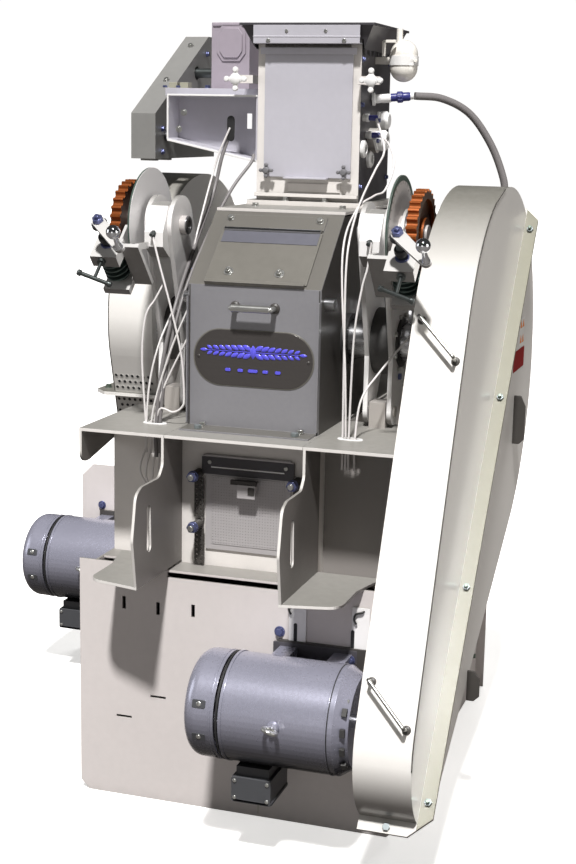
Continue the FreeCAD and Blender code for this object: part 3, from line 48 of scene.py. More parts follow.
def srgb(red, green, blue):
    """Linear colour for a screen colour given as 0-255 numbers."""
    return tuple((c / 255 / 12.92 if c <= 10 else ((c / 255 + 0.055) / 1.055) ** 2.4)
                 for c in (red, green, blue)) + (1.0,)


class Shader:
    """A node material being wired up."""

    def __init__(self, name):
        self.material = bpy.data.materials.new(name)
        self.material.use_nodes = True
        self.tree = self.material.node_tree
        self.base = self.tree.nodes["Principled BSDF"]
        self.where = self.node("ShaderNodeTexCoord").outputs["Object"]

    def node(self, kind, **settings):
        made = self.tree.nodes.new(kind)
        for key, item in settings.items():
            if key[0].isupper():
                made.inputs[key.replace("_", " ")].default_value = item
            else:
                setattr(made, key, item)
        return made

    def link(self, out, socket):
        self.tree.links.new(out, socket)

    def noise(self, scale, detail=3.0, stretch=None):
        made = self.node("ShaderNodeTexNoise", Scale=scale, Detail=detail)
        source = self.where
        if stretch:
            mapping = self.node("ShaderNodeMapping", Scale=stretch)
            self.link(source, mapping.inputs["Vector"])
            source = mapping.outputs["Vector"]
        self.link(source, made.inputs["Vector"])
        return made.outputs["Fac"]

    def math(self, operation, first, second=0.0, third=0.0):
        made = self.node("ShaderNodeMath", operation=operation)
        for socket, item in zip(made.inputs, (first, second, third)):
            if isinstance(item, (int, float)):
                socket.default_value = item
            else:
                self.link(item, socket)
        return made.outputs[0]

    def spread(self, value, low0, high0, low1, high1):
        made = self.node("ShaderNodeMapRange")
        for socket, item in zip(made.inputs[1:5], (low0, high0, low1, high1)):
            socket.default_value = item
        self.link(value, made.inputs[0])
        return made.outputs[0]

    def mix(self, factor, first, second):
        made = self.node("ShaderNodeMix", data_type="RGBA")
        for socket, item in ((made.inputs[0], factor), (made.inputs[6], first), (made.inputs[7], second)):
            if isinstance(item, (int, float, tuple)):
                socket.default_value = item
            else:
                self.link(item, socket)
        return made.outputs[2]

    def edge_mask(self, radius, reach):
        """Bright where an edge is sharp, from the difference between rounded and flat normals."""
        bevel = self.node("ShaderNodeBevel", Radius=radius)
        bevel.samples = 4
        geometry = self.node("ShaderNodeNewGeometry")
        dot = self.node("ShaderNodeVectorMath", operation="DOT_PRODUCT")
        self.link(bevel.outputs[0], dot.inputs[0])
        self.link(geometry.outputs["Normal"], dot.inputs[1])
        return self.spread(dot.outputs["Value"], 0.998, 1 - reach, 0.0, 1.0), bevel.outputs[0]


def tint(colour, factor):
    return tuple(min(1.0, c * factor) for c in colour[:3]) + (1.0,)


# Painted shade colour for faces turned downwards.
UNDERSIDE_SHADE = srgb(74, 68, 64)


def finish(name, colour, rough=0.45, metal=0.0, mottle=0.05, grain=260.0, bump=0.12, wear=None,
           grime_and_shade=0.25, coat=0.0, stretch=None, extra=None, radius=0.0015, top_shade=None):
    """Painted, cast, plated or moulded surface: mottled colour, grime and painted shade in corners, painted shade on
    faces turned up and down when a top colour is given, worn edges, fine grain.
    """
    shader = Shader(name)
    broad = shader.noise(3.2, 4.0)
    fine = shader.noise(grain / 5, 3.0, stretch)
    dust = shader.math("MULTIPLY_ADD", fine, 0.35, shader.math("MULTIPLY", broad, 0.65))
    paint = shader.mix(shader.spread(dust, 0.35, 0.65, 0.0, 1.0), tint(colour, 1 - mottle),
                       tint(colour, 1 + mottle))
    if extra:
        paint = extra(shader, paint)
    if top_shade:
        # Painted shade: faces turned upwards are mixed towards a darker colour, a little patchy by noise, so that tops
        # read as lying in shade.
        up = shader.node("ShaderNodeSeparateXYZ")
        shader.link(shader.node("ShaderNodeNewGeometry").outputs["Normal"], up.inputs[0])
        top_shade_mask = shader.math("MULTIPLY", shader.spread(up.outputs["Z"], 0.46, 0.95, 0.0, 0.92),
                              shader.spread(dust, 0.3, 0.7, 0.88, 1.0))
        paint = shader.mix(top_shade_mask, paint, top_shade)
        # Painted shade: faces turned downwards are darkened towards a brown shadow colour.
        paint = shader.mix(shader.spread(up.outputs["Z"], 0.02, -0.6, 0.0, 0.86), paint, UNDERSIDE_SHADE)
    edges, rounded = shader.edge_mask(radius, 0.25)
    if wear:
        patchy = shader.math("MULTIPLY", edges, shader.spread(shader.noise(38, 4), 0.42, 0.62, 0.15, 1.0))
        paint = shader.mix(shader.math("MULTIPLY", patchy, 0.75), paint, wear)
    # Grime and painted shade: the colour darkens where ambient occlusion finds corners and recesses, patchy by noise.
    if grime_and_shade:
        ao = shader.node("ShaderNodeAmbientOcclusion", Distance=0.045)
        ao.samples = 4
        dark = shader.math("MULTIPLY", shader.spread(ao.outputs["AO"], 0.15, 0.85, 1.0, 0.0), grime_and_shade)
        grime_and_shade_mask = shader.math("MULTIPLY", dark, shader.spread(shader.noise(17, 3), 0.3, 0.7, 0.5, 1.0))
        paint = shader.mix(grime_and_shade_mask, paint, tint(colour, 0.28))
    shader.link(paint, shader.base.inputs["Base Color"])
    shader.link(shader.spread(dust, 0.3, 0.7, rough * 0.86, rough * 1.14), shader.base.inputs["Roughness"])
    shader.base.inputs["Metallic"].default_value = metal
    shader.base.inputs["Coat Weight"].default_value = coat
    shader.base.inputs["Coat Roughness"].default_value = 0.12
    relief = shader.node("ShaderNodeBump", Strength=bump, Distance=0.0006)
    shader.link(shader.noise(grain, 2.0, stretch), relief.inputs["Height"])
    shader.link(rounded, relief.inputs["Normal"])
    shader.link(relief.outputs[0], shader.base.inputs["Normal"])
    return shader.material


def window(shader, axis, low, high, fold=False):
    """One where a coordinate (or its size, when folded) lies between two values in metres, else zero."""
    split = shader.node("ShaderNodeSeparateXYZ")
    shader.link(shader.where, split.inputs[0])
    value = split.outputs[axis]
    if fold:
        value = shader.math("ABSOLUTE", value)
    return shader.math("MULTIPLY", shader.math("GREATER_THAN", value, low), shader.math("LESS_THAN", value, high))


def facing(shader, axis):
    split = shader.node("ShaderNodeSeparateXYZ")
    shader.link(shader.node("ShaderNodeNewGeometry").outputs["True Normal"], split.inputs[0])
    return split.outputs[axis]


def guard_flange(shader, paint):
    """Olive strip on the part of the right-hand guard that stands out past its side."""
    return shader.mix(window(shader, "X", 0.5655, 0.61), paint, srgb(150, 148, 130))


def housing_slope_shade(shader, paint):
    """Painted shade: olive tone on the housing's upward-sloping faces, the uprights left as they are."""
    slope = shader.spread(facing(shader, "Z"), 0.5, 0.6, 0.0, 1.0)
    return shader.mix(slope, paint, srgb(118, 115, 109))


def lower_shade(shader, paint):
    """Painted shade: darker lower half on the motors, growing as the faces turn downwards."""
    return shader.mix(shader.spread(facing(shader, "Z"), 0.25, -0.75, 0.0, 1.0), paint, srgb(40, 40, 44))


def wheel_disc(shader, paint):
    """Dark brown faces on the worm wheels' discs."""
    across = shader.math("ABSOLUTE", facing(shader, "X"))
    return shader.mix(shader.spread(across, 0.6, 0.9, 0.0, 0.9), paint, srgb(46, 28, 14))


def shaded_webs(shader, paint):
    """Brown tone on the bracket faces turned away from the light."""
    return shader.mix(shader.spread(facing(shader, "X"), 0.6, 0.9, 0.0, 0.85), paint, srgb(72, 65, 62))


def shaded_bay(shader, paint):
    """Painted shadow: brown tone on the core's front in the deep bay to the right of the right bracket, where the
    shelf's shade falls.
    """
    front = shader.math("LESS_THAN", facing(shader, "Y"), -0.8)
    bay = shader.math("MULTIPLY", window(shader, "X", 0.16, 0.45), window(shader, "Z", 0.62, 1.0))
    return shader.mix(shader.math("MULTIPLY", shader.math("MULTIPLY", bay, front), 0.75), paint, srgb(72, 65, 62))


def feeder_sides(shader, paint):
    """Charcoal side walls on the feeder tube."""
    side = shader.math("GREATER_THAN", shader.math("ABSOLUTE", facing(shader, "X")), 0.7)
    return shader.mix(shader.math("MULTIPLY", side, window(shader, "X", 0.1455, 0.1485, True)), paint,
                      srgb(70, 68, 72))


def pivot_blocks(shader, paint):
    """Cream paint on the arms' pivot blocks, which share a node with the nuts."""
    low = window(shader, "Z", 1.0, 1.10)
    return shader.mix(shader.math("MULTIPLY", low, window(shader, "X", 0.24, 0.34, True)), paint,
                      srgb(210, 204, 198))


CREAM = srgb(236, 231, 226)
# Painted shade colour for faces turned upwards.
TOP_SHADE = srgb(126, 124, 118)
PRIMER = srgb(120, 116, 108)
STEEL = srgb(176, 176, 178)
mats = {
    "plate": finish("plate_paint", CREAM, 0.42, mottle=0.025, wear=srgb(205, 200, 192), grime_and_shade=0.5, top_shade=TOP_SHADE,
                    extra=shaded_bay),
    "base": finish("base_paint", srgb(216, 209, 206), 0.46, mottle=0.03, wear=srgb(200, 192, 184), grime_and_shade=0.45,
                   top_shade=TOP_SHADE),
    "arm": finish("arm_paint", srgb(248, 246, 244), 0.36, mottle=0.02, wear=srgb(198, 194, 190), grime_and_shade=0.55,
                  coat=0.2, top_shade=TOP_SHADE),
    "guard": finish("guard_paint", srgb(242, 239, 234), 0.33, mottle=0.02, wear=srgb(160, 156, 142),
                    grime_and_shade=0.4, coat=0.25, top_shade=srgb(92, 90, 80), extra=guard_flange),
    "flange": finish("flange_paint", srgb(160, 158, 140), 0.45, mottle=0.04, wear=srgb(214, 210, 200)),
    "shelf": finish("shelf_paint", srgb(232, 228, 223), 0.42, mottle=0.03, wear=srgb(240, 236, 232),
                    grime_and_shade=0.6, top_shade=TOP_SHADE, extra=shaded_webs),
    "house": finish("housing_paint", srgb(150, 149, 153), 0.36, metal=0.3, mottle=0.04, grain=420,
                    wear=srgb(205, 204, 204), grime_and_shade=0.35, extra=housing_slope_shade),
    "slant": finish("door_paint", srgb(121, 118, 111), 0.38, metal=0.25, mottle=0.04,
                    wear=srgb(190, 190, 184)),
    "dark": finish("dark_paint", srgb(66, 63, 60), 0.45, mottle=0.08, wear=srgb(120, 118, 112)),
    "char": finish("charcoal_paint", srgb(74, 72, 76), 0.4, mottle=0.06, wear=srgb(130, 128, 130)),
    "lavender": finish("pale_panel_paint", srgb(202, 200, 208), 0.36, metal=0.15, mottle=0.03,
                       wear=srgb(232, 230, 232), grime_and_shade=0.45),
    "chain": finish("chain_guard_paint", srgb(148, 147, 144), 0.4, metal=0.2, mottle=0.04,
                    wear=srgb(176, 175, 168)),
    "motor": finish("motor_enamel", srgb(170, 170, 186), 0.27, metal=0.5, mottle=0.04, grain=600,
                    bump=0.08, wear=srgb(206, 208, 220), grime_and_shade=0.6, coat=0.3, extra=lower_shade),
    "box": finish("terminal_box_enamel", srgb(70, 71, 74), 0.42, mottle=0.06, wear=srgb(118, 119, 124)),
    "iron": finish("cast_iron", srgb(78, 77, 76), 0.55, metal=0.6, mottle=0.12, grain=700, bump=0.6,
                   wear=srgb(140, 138, 134)),
    "ground": finish("ground_steel", STEEL, 0.28, metal=1.0, mottle=0.05, grain=900, bump=0.08,
                     stretch=(0.06, 1.0, 1.0), grime_and_shade=0.15),
    "steel": finish("turned_steel", srgb(150, 150, 152), 0.32, metal=1.0, mottle=0.06, grain=800,
                    bump=0.1, grime_and_shade=0.3),
    "rod": finish("oiled_steel", srgb(88, 93, 92), 0.38, metal=0.85, mottle=0.1, grain=500, bump=0.2),
    "worm": finish("worm_steel", srgb(78, 92, 88), 0.36, metal=0.8, mottle=0.12, grain=420, bump=0.25,
                   wear=srgb(140, 150, 146)),
    "chrome": finish("chrome_plate", srgb(226, 228, 232), 0.07, metal=1.0, mottle=0.01, grain=120,
                     bump=0.01, grime_and_shade=0.0),
    "zinc": finish("bright_zinc", srgb(196, 196, 192), 0.3, metal=0.9, mottle=0.08, grain=300, bump=0.1),
    "blue": finish("blue_zinc", srgb(104, 110, 150), 0.3, metal=0.7, mottle=0.12, grain=300, bump=0.1,
                   wear=srgb(168, 172, 206)),
    "green": finish("green_zinc", srgb(128, 142, 130), 0.34, metal=0.8, mottle=0.1, grain=300, bump=0.1,
                    wear=srgb(184, 192, 182)),
    "bronze": finish("gear_bronze", srgb(150, 80, 34), 0.42, metal=0.6, mottle=0.14, grain=340,
                     bump=0.18, wear=srgb(214, 140, 76), grime_and_shade=0.6, extra=wheel_disc),
    "rubber": finish("black_rubber", srgb(34, 34, 35), 0.62, mottle=0.12, grain=600, bump=0.3, grime_and_shade=0.0,
                     wear=srgb(66, 66, 66)),
    "belt": finish("belt_rubber", srgb(38, 37, 36), 0.7, mottle=0.15, grain=500, bump=0.5, grime_and_shade=0.0,
                   stretch=(5.0, 0.4, 0.4)),
    "hose": finish("hose_rubber", srgb(122, 118, 118), 0.5, mottle=0.06, grain=500, bump=0.25, grime_and_shade=0.0),
    "cable": finish("cable_sheath", srgb(226, 222, 220), 0.32, mottle=0.03, grain=400, bump=0.08,
                    grime_and_shade=0.3),
    "cable_dark": finish("dark_cable_sheath", srgb(46, 45, 44), 0.42, mottle=0.08, grain=400, grime_and_shade=0.0),
    "cable_tan": finish("tan_cable_sheath", srgb(146, 138, 122), 0.42, mottle=0.06, grain=400, grime_and_shade=0.0),
    "plug": finish("blue_plug", srgb(52, 54, 120), 0.36, mottle=0.08, grain=300, grime_and_shade=0.2,
                   wear=srgb(92, 96, 168)),
    "knob": finish("white_knob", srgb(246, 245, 243), 0.3, mottle=0.02, grain=300, bump=0.05, coat=0.3,
                   grime_and_shade=0.4),
    "tank": finish("tank_enamel", srgb(250, 246, 238), 0.22, mottle=0.03, grain=200, bump=0.05, coat=0.5,
                   grime_and_shade=0.4),
    "plate_name": finish("nameplate_finish", srgb(92, 88, 86), 0.3, metal=0.6, mottle=0.05,
                         stretch=(0.05, 1.0, 1.0), grain=700, bump=0.1, grime_and_shade=0.2,
                         wear=srgb(176, 174, 172)),
    "emblem": finish("emblem_enamel", srgb(96, 92, 226), 0.3, mottle=0.05, grain=300, bump=0.05,
                     coat=0.4, grime_and_shade=0.0),
    "red": finish("label_red", srgb(140, 6, 6), 0.75, mottle=0.06, grain=300, bump=0.03, grime_and_shade=0.0),
    "orange": finish("label_orange", srgb(232, 128, 20), 0.75, mottle=0.06, grain=300, bump=0.03, grime_and_shade=0.0),
    "paper": finish("label_white", srgb(236, 234, 230), 0.45, mottle=0.03, grain=300, bump=0.03, grime_and_shade=0.0),
    "panel_grey": finish("gearbox_enamel", srgb(178, 168, 178), 0.4, metal=0.2, mottle=0.04,
                         wear=srgb(210, 204, 210), grime_and_shade=0.5),
    "teal": finish("dark_teal_enamel", srgb(40, 56, 62), 0.4, metal=0.3, mottle=0.08,
                   wear=srgb(90, 108, 114)),
    "tan": finish("tan_board", srgb(196, 172, 128), 0.55, mottle=0.06, grain=300, bump=0.2),
    "knob_grey": finish("grey_knob", srgb(120, 119, 122), 0.38, mottle=0.05, grain=300, bump=0.06,
                        wear=srgb(160, 160, 162), grime_and_shade=0.3),
    "feeder": finish("feeder_paint", CREAM, 0.42, mottle=0.025, wear=srgb(205, 200, 192), grime_and_shade=0.5,
                     top_shade=TOP_SHADE, extra=feeder_sides),
    "nuts": finish("nut_zinc", srgb(140, 148, 150), 0.34, metal=0.5, mottle=0.1, grain=300, bump=0.1,
                   wear=srgb(184, 192, 190), extra=pivot_blocks),
    "hinge": finish("hinge_paint", srgb(112, 112, 121), 0.34, metal=0.3, mottle=0.04, wear=srgb(170, 170, 176)),
    "mesh": finish("discharge_panel_paint", srgb(188, 184, 184), 0.45, metal=0.2, mottle=0.04, grime_and_shade=0.3),
}
NODE_LOOK = {
    "base": ["base_front_plate", "base_panels", "base_deck", "motor_wing_plate"],
    "plate": ["core_panels", "housing_top_plate"],
    "feeder": ["feeder_body"],
    "shelf": ["shelf_center", "shelf_brackets"],
    "dark": ["housing_side_plates", "motor_mounts"],
    "house": ["housing_sheets"],
    "slant": ["inspection_door"],
    "zinc": ["pull_handles"],
    "rubber": ["shaft_seals"],
    "ground": ["roll_scrapers", "front_roll", "rear_roll"],
    "arm": ["swing_arms", "worm_brackets"],
    "iron": ["front_bearing_housings", "rear_bearing_blocks", "front_roll_sheave", "rear_roll_sheave",
             "front_motor_sheave", "rear_motor_sheave"],
    "nuts": ["fasteners"],
    "bronze": ["left_worm_wheel", "right_worm_wheel"],
    "rod": ["left_lock_handle", "right_lock_handle", "feeder_drive_sprocket"],
    "guard": ["right_guard_cover", "right_guard_back", "left_guard_upper", "left_guard_lower"],
    "belt": ["front_belt", "rear_belt"],
    "motor": ["motor_frames", "motor_fan_covers"],
    "box": ["motor_conduit_boxes"],
    "steel": ["front_motor_rotor", "rear_motor_rotor", "feed_roll"],
    "char": ["feeder_hopper_top", "discharge_chute"],
    "lavender": ["feeder_door", "feeder_channel_box"],
    "panel_grey": ["feeder_gearmotor"],
    "chain": ["feeder_drive_guard"],
    "tank": ["feeder_tank"],
    "knob": ["side_knob_left", "side_knob_right"],
    "knob_grey": ["door_knob_left", "door_knob_right"],
    "mesh": ["discharge_door"],
    "arm_grey": ["left_gap_dial", "right_gap_dial"],
    "crank": ["left_crank", "right_crank"],
}


def dial_rim(shader, paint):
    """Dark rim on the dials, beyond a radius around the eccentric's axis."""
    split = shader.node("ShaderNodeSeparateXYZ")
    shader.link(shader.where, split.inputs[0])
    y = shader.math("ADD", split.outputs["Y"], 0.340)
    z = shader.math("ADD", split.outputs["Z"], -1.519)
    far = shader.math("SQRT", shader.math("ADD", shader.math("POWER", y, 2.0), shader.math("POWER", z, 2.0)))
    outer = window(shader, "X", 0.3395, 0.346, True)
    pale = shader.mix(window(shader, "X", 0.33, 0.3385, True), paint, srgb(238, 236, 236))
    return shader.mix(shader.math("MULTIPLY", shader.math("GREATER_THAN", far, 0.133), outer), pale,
                      srgb(72, 88, 80))


mats["arm_grey"] = finish("dial_paint", srgb(196, 191, 188), 0.34, metal=0.1, mottle=0.03,
                          wear=srgb(220, 216, 212), extra=dial_rim)
mats["crank"] = mats["arm"]
for look, names in NODE_LOOK.items():
    for node_name in names:
        slots = NODES[node_name].material_slots
        for held in slots:
            held.material = mats[look]


# Mesh building ---------------------------------------------------------------------------------------

def spot(point, normal=(0, 0, 1), along=None):
    """Matrix that puts local z along normal and local x as near as possible to along, at point (mm)."""
    z = Vector(normal).normalized()
    guide = Vector(along) if along else (Vector((1, 0, 0)) if abs(z.x) < 0.9 else Vector((0, 1, 0)))
    y = z.cross(guide).normalized()
    x = y.cross(z)
    turn = Matrix((x, y, z)).transposed().to_4x4()
    return Matrix.Translation(Vector(point)) @ turn


class Build:
    """A mesh put together in millimetres and turned into a piece that rides on a body."""

    def __init__(self):
        self.bm = bmesh.new()

    def faces(self, points, faces, place):
        verts = [self.bm.verts.new(place @ Vector(p)) for p in points]
        for face in faces:
            self.bm.faces.new([verts[i] for i in face])
        return self

    def prism(self, outline, depth, place=Matrix()):
        count = len(outline)
        points = [(*p, 0) for p in outline] + [(*p, depth) for p in outline]
        faces = [tuple(range(count))[::-1], tuple(range(count, 2 * count))]
        faces += [(i, (i + 1) % count, count + (i + 1) % count, count + i) for i in range(count)]
        return self.faces(points, faces, place)

    def block(self, x, y, z, place=Matrix()):
        """Block centred on its place in x and y, standing on it in z."""
        return self.prism([(-x / 2, -y / 2), (x / 2, -y / 2), (x / 2, y / 2), (-x / 2, y / 2)], z, place)

    def lathe(self, profile, place=Matrix(), steps=32):
        """Closed solid turned around local z; the profile runs from the axis to the axis as (radius, z)."""
        rings = []
        for radius, z in profile:
            if radius == 0:
                rings.append([self.bm.verts.new(place @ Vector((0, 0, z)))])
            else:
                rings.append([self.bm.verts.new(place @ Vector((
                    radius * math.cos(2 * math.pi * k / steps), radius * math.sin(2 * math.pi * k / steps), z)))
                    for k in range(steps)])
        for low, high in zip(rings, rings[1:]):
            for k in range(steps):
                n = (k + 1) % steps
                if len(low) == 1:
                    self.bm.faces.new((low[0], high[k], high[n]))
                elif len(high) == 1:
                    self.bm.faces.new((low[n], low[k], high[0]))
                else:
                    self.bm.faces.new((low[k], high[k], high[n], low[n]))
        return self

    def ring(self, profile, place=Matrix(), steps=32):
        """Closed ring turned around local z from a closed profile that stays off the axis."""
        rows = [[self.bm.verts.new(place @ Vector((r * math.cos(2 * math.pi * k / steps),
                                                   r * math.sin(2 * math.pi * k / steps), z)))
                 for k in range(steps)] for r, z in profile]
        for low, high in zip(rows, rows[1:] + rows[:1]):
            for k in range(steps):
                n = (k + 1) % steps
                self.bm.faces.new((low[k], low[n], high[n], high[k]))
        return self

    def torus(self, radius, wire, place=Matrix(), steps=32):
        circle = [(radius + wire * math.cos(a), wire * math.sin(a))
                  for a in (2 * math.pi * k / 12 for k in range(12))]
        return self.ring(circle, place, steps)

    def hexagon(self, across, height, place=Matrix(), chamfer=0.12):
        corner = across / 2 / math.cos(math.pi / 6)
        rows = [(corner, 0), (corner, height * (1 - chamfer)), (corner * 0.88, height)]
        points = [(r * math.cos(math.pi / 3 * k), r * math.sin(math.pi / 3 * k), z)
                  for r, z in rows for k in range(6)]
        faces = [tuple(range(6))[::-1], tuple(range(12, 18))]
        for row in (0, 6):
            faces += [(row + k, row + (k + 1) % 6, row + 6 + (k + 1) % 6, row + 6 + k) for k in range(6)]
        return self.faces(points, faces, place)

    def tube(self, points, radius, steps=10, smooth=6):
        """Round cable through the given points, smoothed between them, with closed ends."""
        path = curve_through([Vector(p) for p in points], smooth)
        rings = []
        side = None
        for i, point in enumerate(path):
            ahead = (path[min(i + 1, len(path) - 1)] - path[max(i - 1, 0)]).normalized()
            if side is None:
                side = ahead.orthogonal().normalized()
            side = (side - ahead * side.dot(ahead)).normalized()
            up = ahead.cross(side)
            rings.append([self.bm.verts.new(point + radius * (side * math.cos(a) + up * math.sin(a)))
                          for a in (2 * math.pi * k / steps for k in range(steps))])
        for low, high in zip(rings, rings[1:]):
            for k in range(steps):
                n = (k + 1) % steps
                self.bm.faces.new((low[k], low[n], high[n], high[k]))
        self.bm.faces.new(rings[0][::-1])
        self.bm.faces.new(rings[-1])
        return self

    def perforated(self, columns, rows, pitch, hole, depth, place=Matrix()):
        """Plate of square cells, each with a round hole."""
        outer = square_points(pitch / 2, 4)
        made = []
        for row in range(rows):
            for column in range(columns):
                cx, cy = (column - (columns - 1) / 2) * pitch, (row - (rows - 1) / 2) * pitch
                edge = [self.bm.verts.new(place @ Vector((cx + x, cy + y, 0))) for x, y in outer]
                rim = []
                for x, y in outer:
                    reach = hole / math.hypot(x, y)
                    rim.append(self.bm.verts.new(place @ Vector((cx + x * reach, cy + y * reach, 0))))
                for k in range(len(outer)):
                    n = (k + 1) % len(outer)
                    made.append(self.bm.faces.new((edge[k], edge[n], rim[n], rim[k])))
        bmesh.ops.remove_doubles(self.bm, verts=list({v for f in made for v in f.verts}), dist=0.05)
        faces = [f for f in made if f.is_valid]
        grown = bmesh.ops.extrude_face_region(self.bm, geom=faces, use_keep_orig=True)
        offset = place.to_3x3() @ Vector((0, 0, depth))
        bmesh.ops.translate(self.bm, vec=offset, verts=[g for g in grown["geom"]
                                                        if isinstance(g, bmesh.types.BMVert)])
        return self

    def piece(self, name, look, body="frame", bevel=0.0, slot="base_front_plate"):
        bmesh.ops.recalc_face_normals(self.bm, faces=self.bm.faces)
        self.bm.transform(Matrix.Scale(MM, 4))
        mesh = bpy.data.meshes.new(name)
        self.bm.to_mesh(mesh)
        self.bm.free()
        mesh.materials.append(mats[look])
        mesh.shade_smooth()
        mesh.set_sharp_from_angle(angle=math.radians(35))
        obj = bpy.data.objects.new(name, mesh)
        bpy.context.scene.collection.objects.link(obj)
        if bevel:
            rounding = obj.modifiers.new("rounding", "BEVEL")
            rounding.width = bevel * MM
            rounding.segments = 2
            rounding.limit_method = "ANGLE"
            rounding.angle_limit = math.radians(40)
            rounding.harden_normals = True
        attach(obj, body)
        return obj


def square_points(half, per_side):
    points = []
    for k in range(4 * per_side):
        side, t = divmod(k, per_side)
        u = half * (2 * t / per_side - 1)
        points.append([(u, -half), (half, u), (-u, half), (-half, -u)][side])
    return points


def curve_through(points, smooth):
    """Points along a smooth curve that passes through every given point."""
    if len(points) < 3:
        return points
    held = [2 * points[0] - points[1]] + points + [2 * points[-1] - points[-2]]
    path = []
    for a, b, c, d in zip(held, held[1:], held[2:], held[3:]):
        for k in range(smooth):
            t = k / smooth
            path.append(0.5 * (2 * b + (c - a) * t + (2 * a - 5 * b + 4 * c - d) * t * t
                               + (3 * b - a - 3 * c + d) * t ** 3))
    return path + [points[-1]]


def stadium(half_length, radius, steps=14):
    """Outline of a bar with round ends, along x."""
    points = []
    for centre, start in ((half_length, -90), (-half_length, 90)):
        for k in range(steps + 1):
            a = math.radians(start + 180 * k / steps)
            points.append((centre + radius * math.cos(a), radius * math.sin(a)))
    return points


def rounded(x, y, radius, steps=6):
    """Outline of a rectangle with rounded corners, centred on the origin."""
    points = []
    for sx, sy, start in ((1, -1, -90), (1, 1, 0), (-1, 1, 90), (-1, -1, 180)):
        for k in range(steps + 1):
            a = math.radians(start + 90 * k / steps)
            points.append((sx * (x / 2 - radius) + radius * math.cos(a),
                           sy * (y / 2 - radius) + radius * math.sin(a)))
    return points


def bolt(build, point, normal, across=13, head=6, washer=0.0):
    """Hexagon head on a washer, standing on a face."""
    place = spot(point, normal)
    flat = 2.0 if washer else 0.0
    if washer:
        build.ring([(across * 0.2, 0), (washer / 2, 0), (washer / 2, flat), (across * 0.2, flat)], place, 24)
    build.hexagon(across, head, place @ Matrix.Translation((0, 0, flat)))


def stud(build, point, normal, radius=4.0, length=12):
    build.lathe([(0, 0), (radius, 0), (radius, length - 1), (radius - 1, length), (0, length)],
                spot(point, normal), 16)


# Housing ---------------------------------------------------------------------------------------------

SLANT = math.atan2(1556.5 - 1380.3, 476.2 - 282.7)
SLANT_OUT = (0, -math.sin(SLANT), math.cos(SLANT))


def on_slant(x, along, out=0.0):
    """Point on the housing's slanted face, up it from the lower edge and out from its surface."""
    return (x, -476.2 + along * math.cos(SLANT) - out * math.sin(SLANT),
            1380.3 + along * math.sin(SLANT) + out * math.cos(SLANT))


def kernel(build, x, y, lean, length, wide, place):
    """Grain kernel in relief: a flattened spindle."""
    turn = place @ Matrix.Translation((x, y, 0)) @ Matrix.Rotation(lean, 4, "Z") @ Matrix.Diagonal(
        (1, 1, 0.42, 1)) @ Matrix.Rotation(math.pi / 2, 4, "Y")
    profile = [(wide / 2 * math.sin(math.pi * k / 8) ** 0.8, length * (k / 8 - 0.5)) for k in range(9)]
    profile[0], profile[-1] = (0, -length / 2), (0, length / 2)
    build.lathe(profile, turn, 14)


def nameplate():
    face = spot((0.8, -476.2, 1196), (0, -1, 0), (1, 0, 0))
    Build().prism(stadium(89.5, 74, 20), 1.6, face).piece("nameplate_rim", "slant", bevel=0.4,
                                                          slot="housing_sheets")
    plate = Build().prism(stadium(88.5, 71.5, 20), 2.6, face)
    for x in (-148, 148):
        plate.lathe([(0, 0), (4, 0), (3.6, 1.6), (2, 2.6), (0, 3)], face @ Matrix.Translation((x, 0, 2.4)), 14)
    plate.piece("nameplate", "plate_name", bevel=0.5, slot="housing_sheets")
    raised = face @ Matrix.Translation((0, 0, 2.8))
    ear = Build()
    for side in (-1, 1):
        for k in range(7):
            x = side * (16 + 17 * k)
            size = 1.0 - 0.055 * k
            for up in (-1, 1):
                kernel(ear, x, 17 + up * 10.5 * size, side * up * 0.5, 27 * size, 13 * size, raised)
        kernel(ear, side * 134, 17, 0, 22, 9, raised)
        ear.prism([(side * 6, 15.8), (side * 128, 16.3), (side * 128, 17.7), (side * 6, 18.2)][::side], 1.6,
                  raised)
    kernel(ear, 0, 17, math.pi / 2, 36, 17, raised)
    for k in range(5):
        wide = 15 if k != 2 else 26
        ear.prism([(x + 26 * (k - 2) * 1.3, y - 31) for x, y in rounded(wide, 8, 3.5)], 1.8, raised)
    ear.piece("nameplate_grain_ear", "emblem", bevel=0.3, slot="housing_sheets")


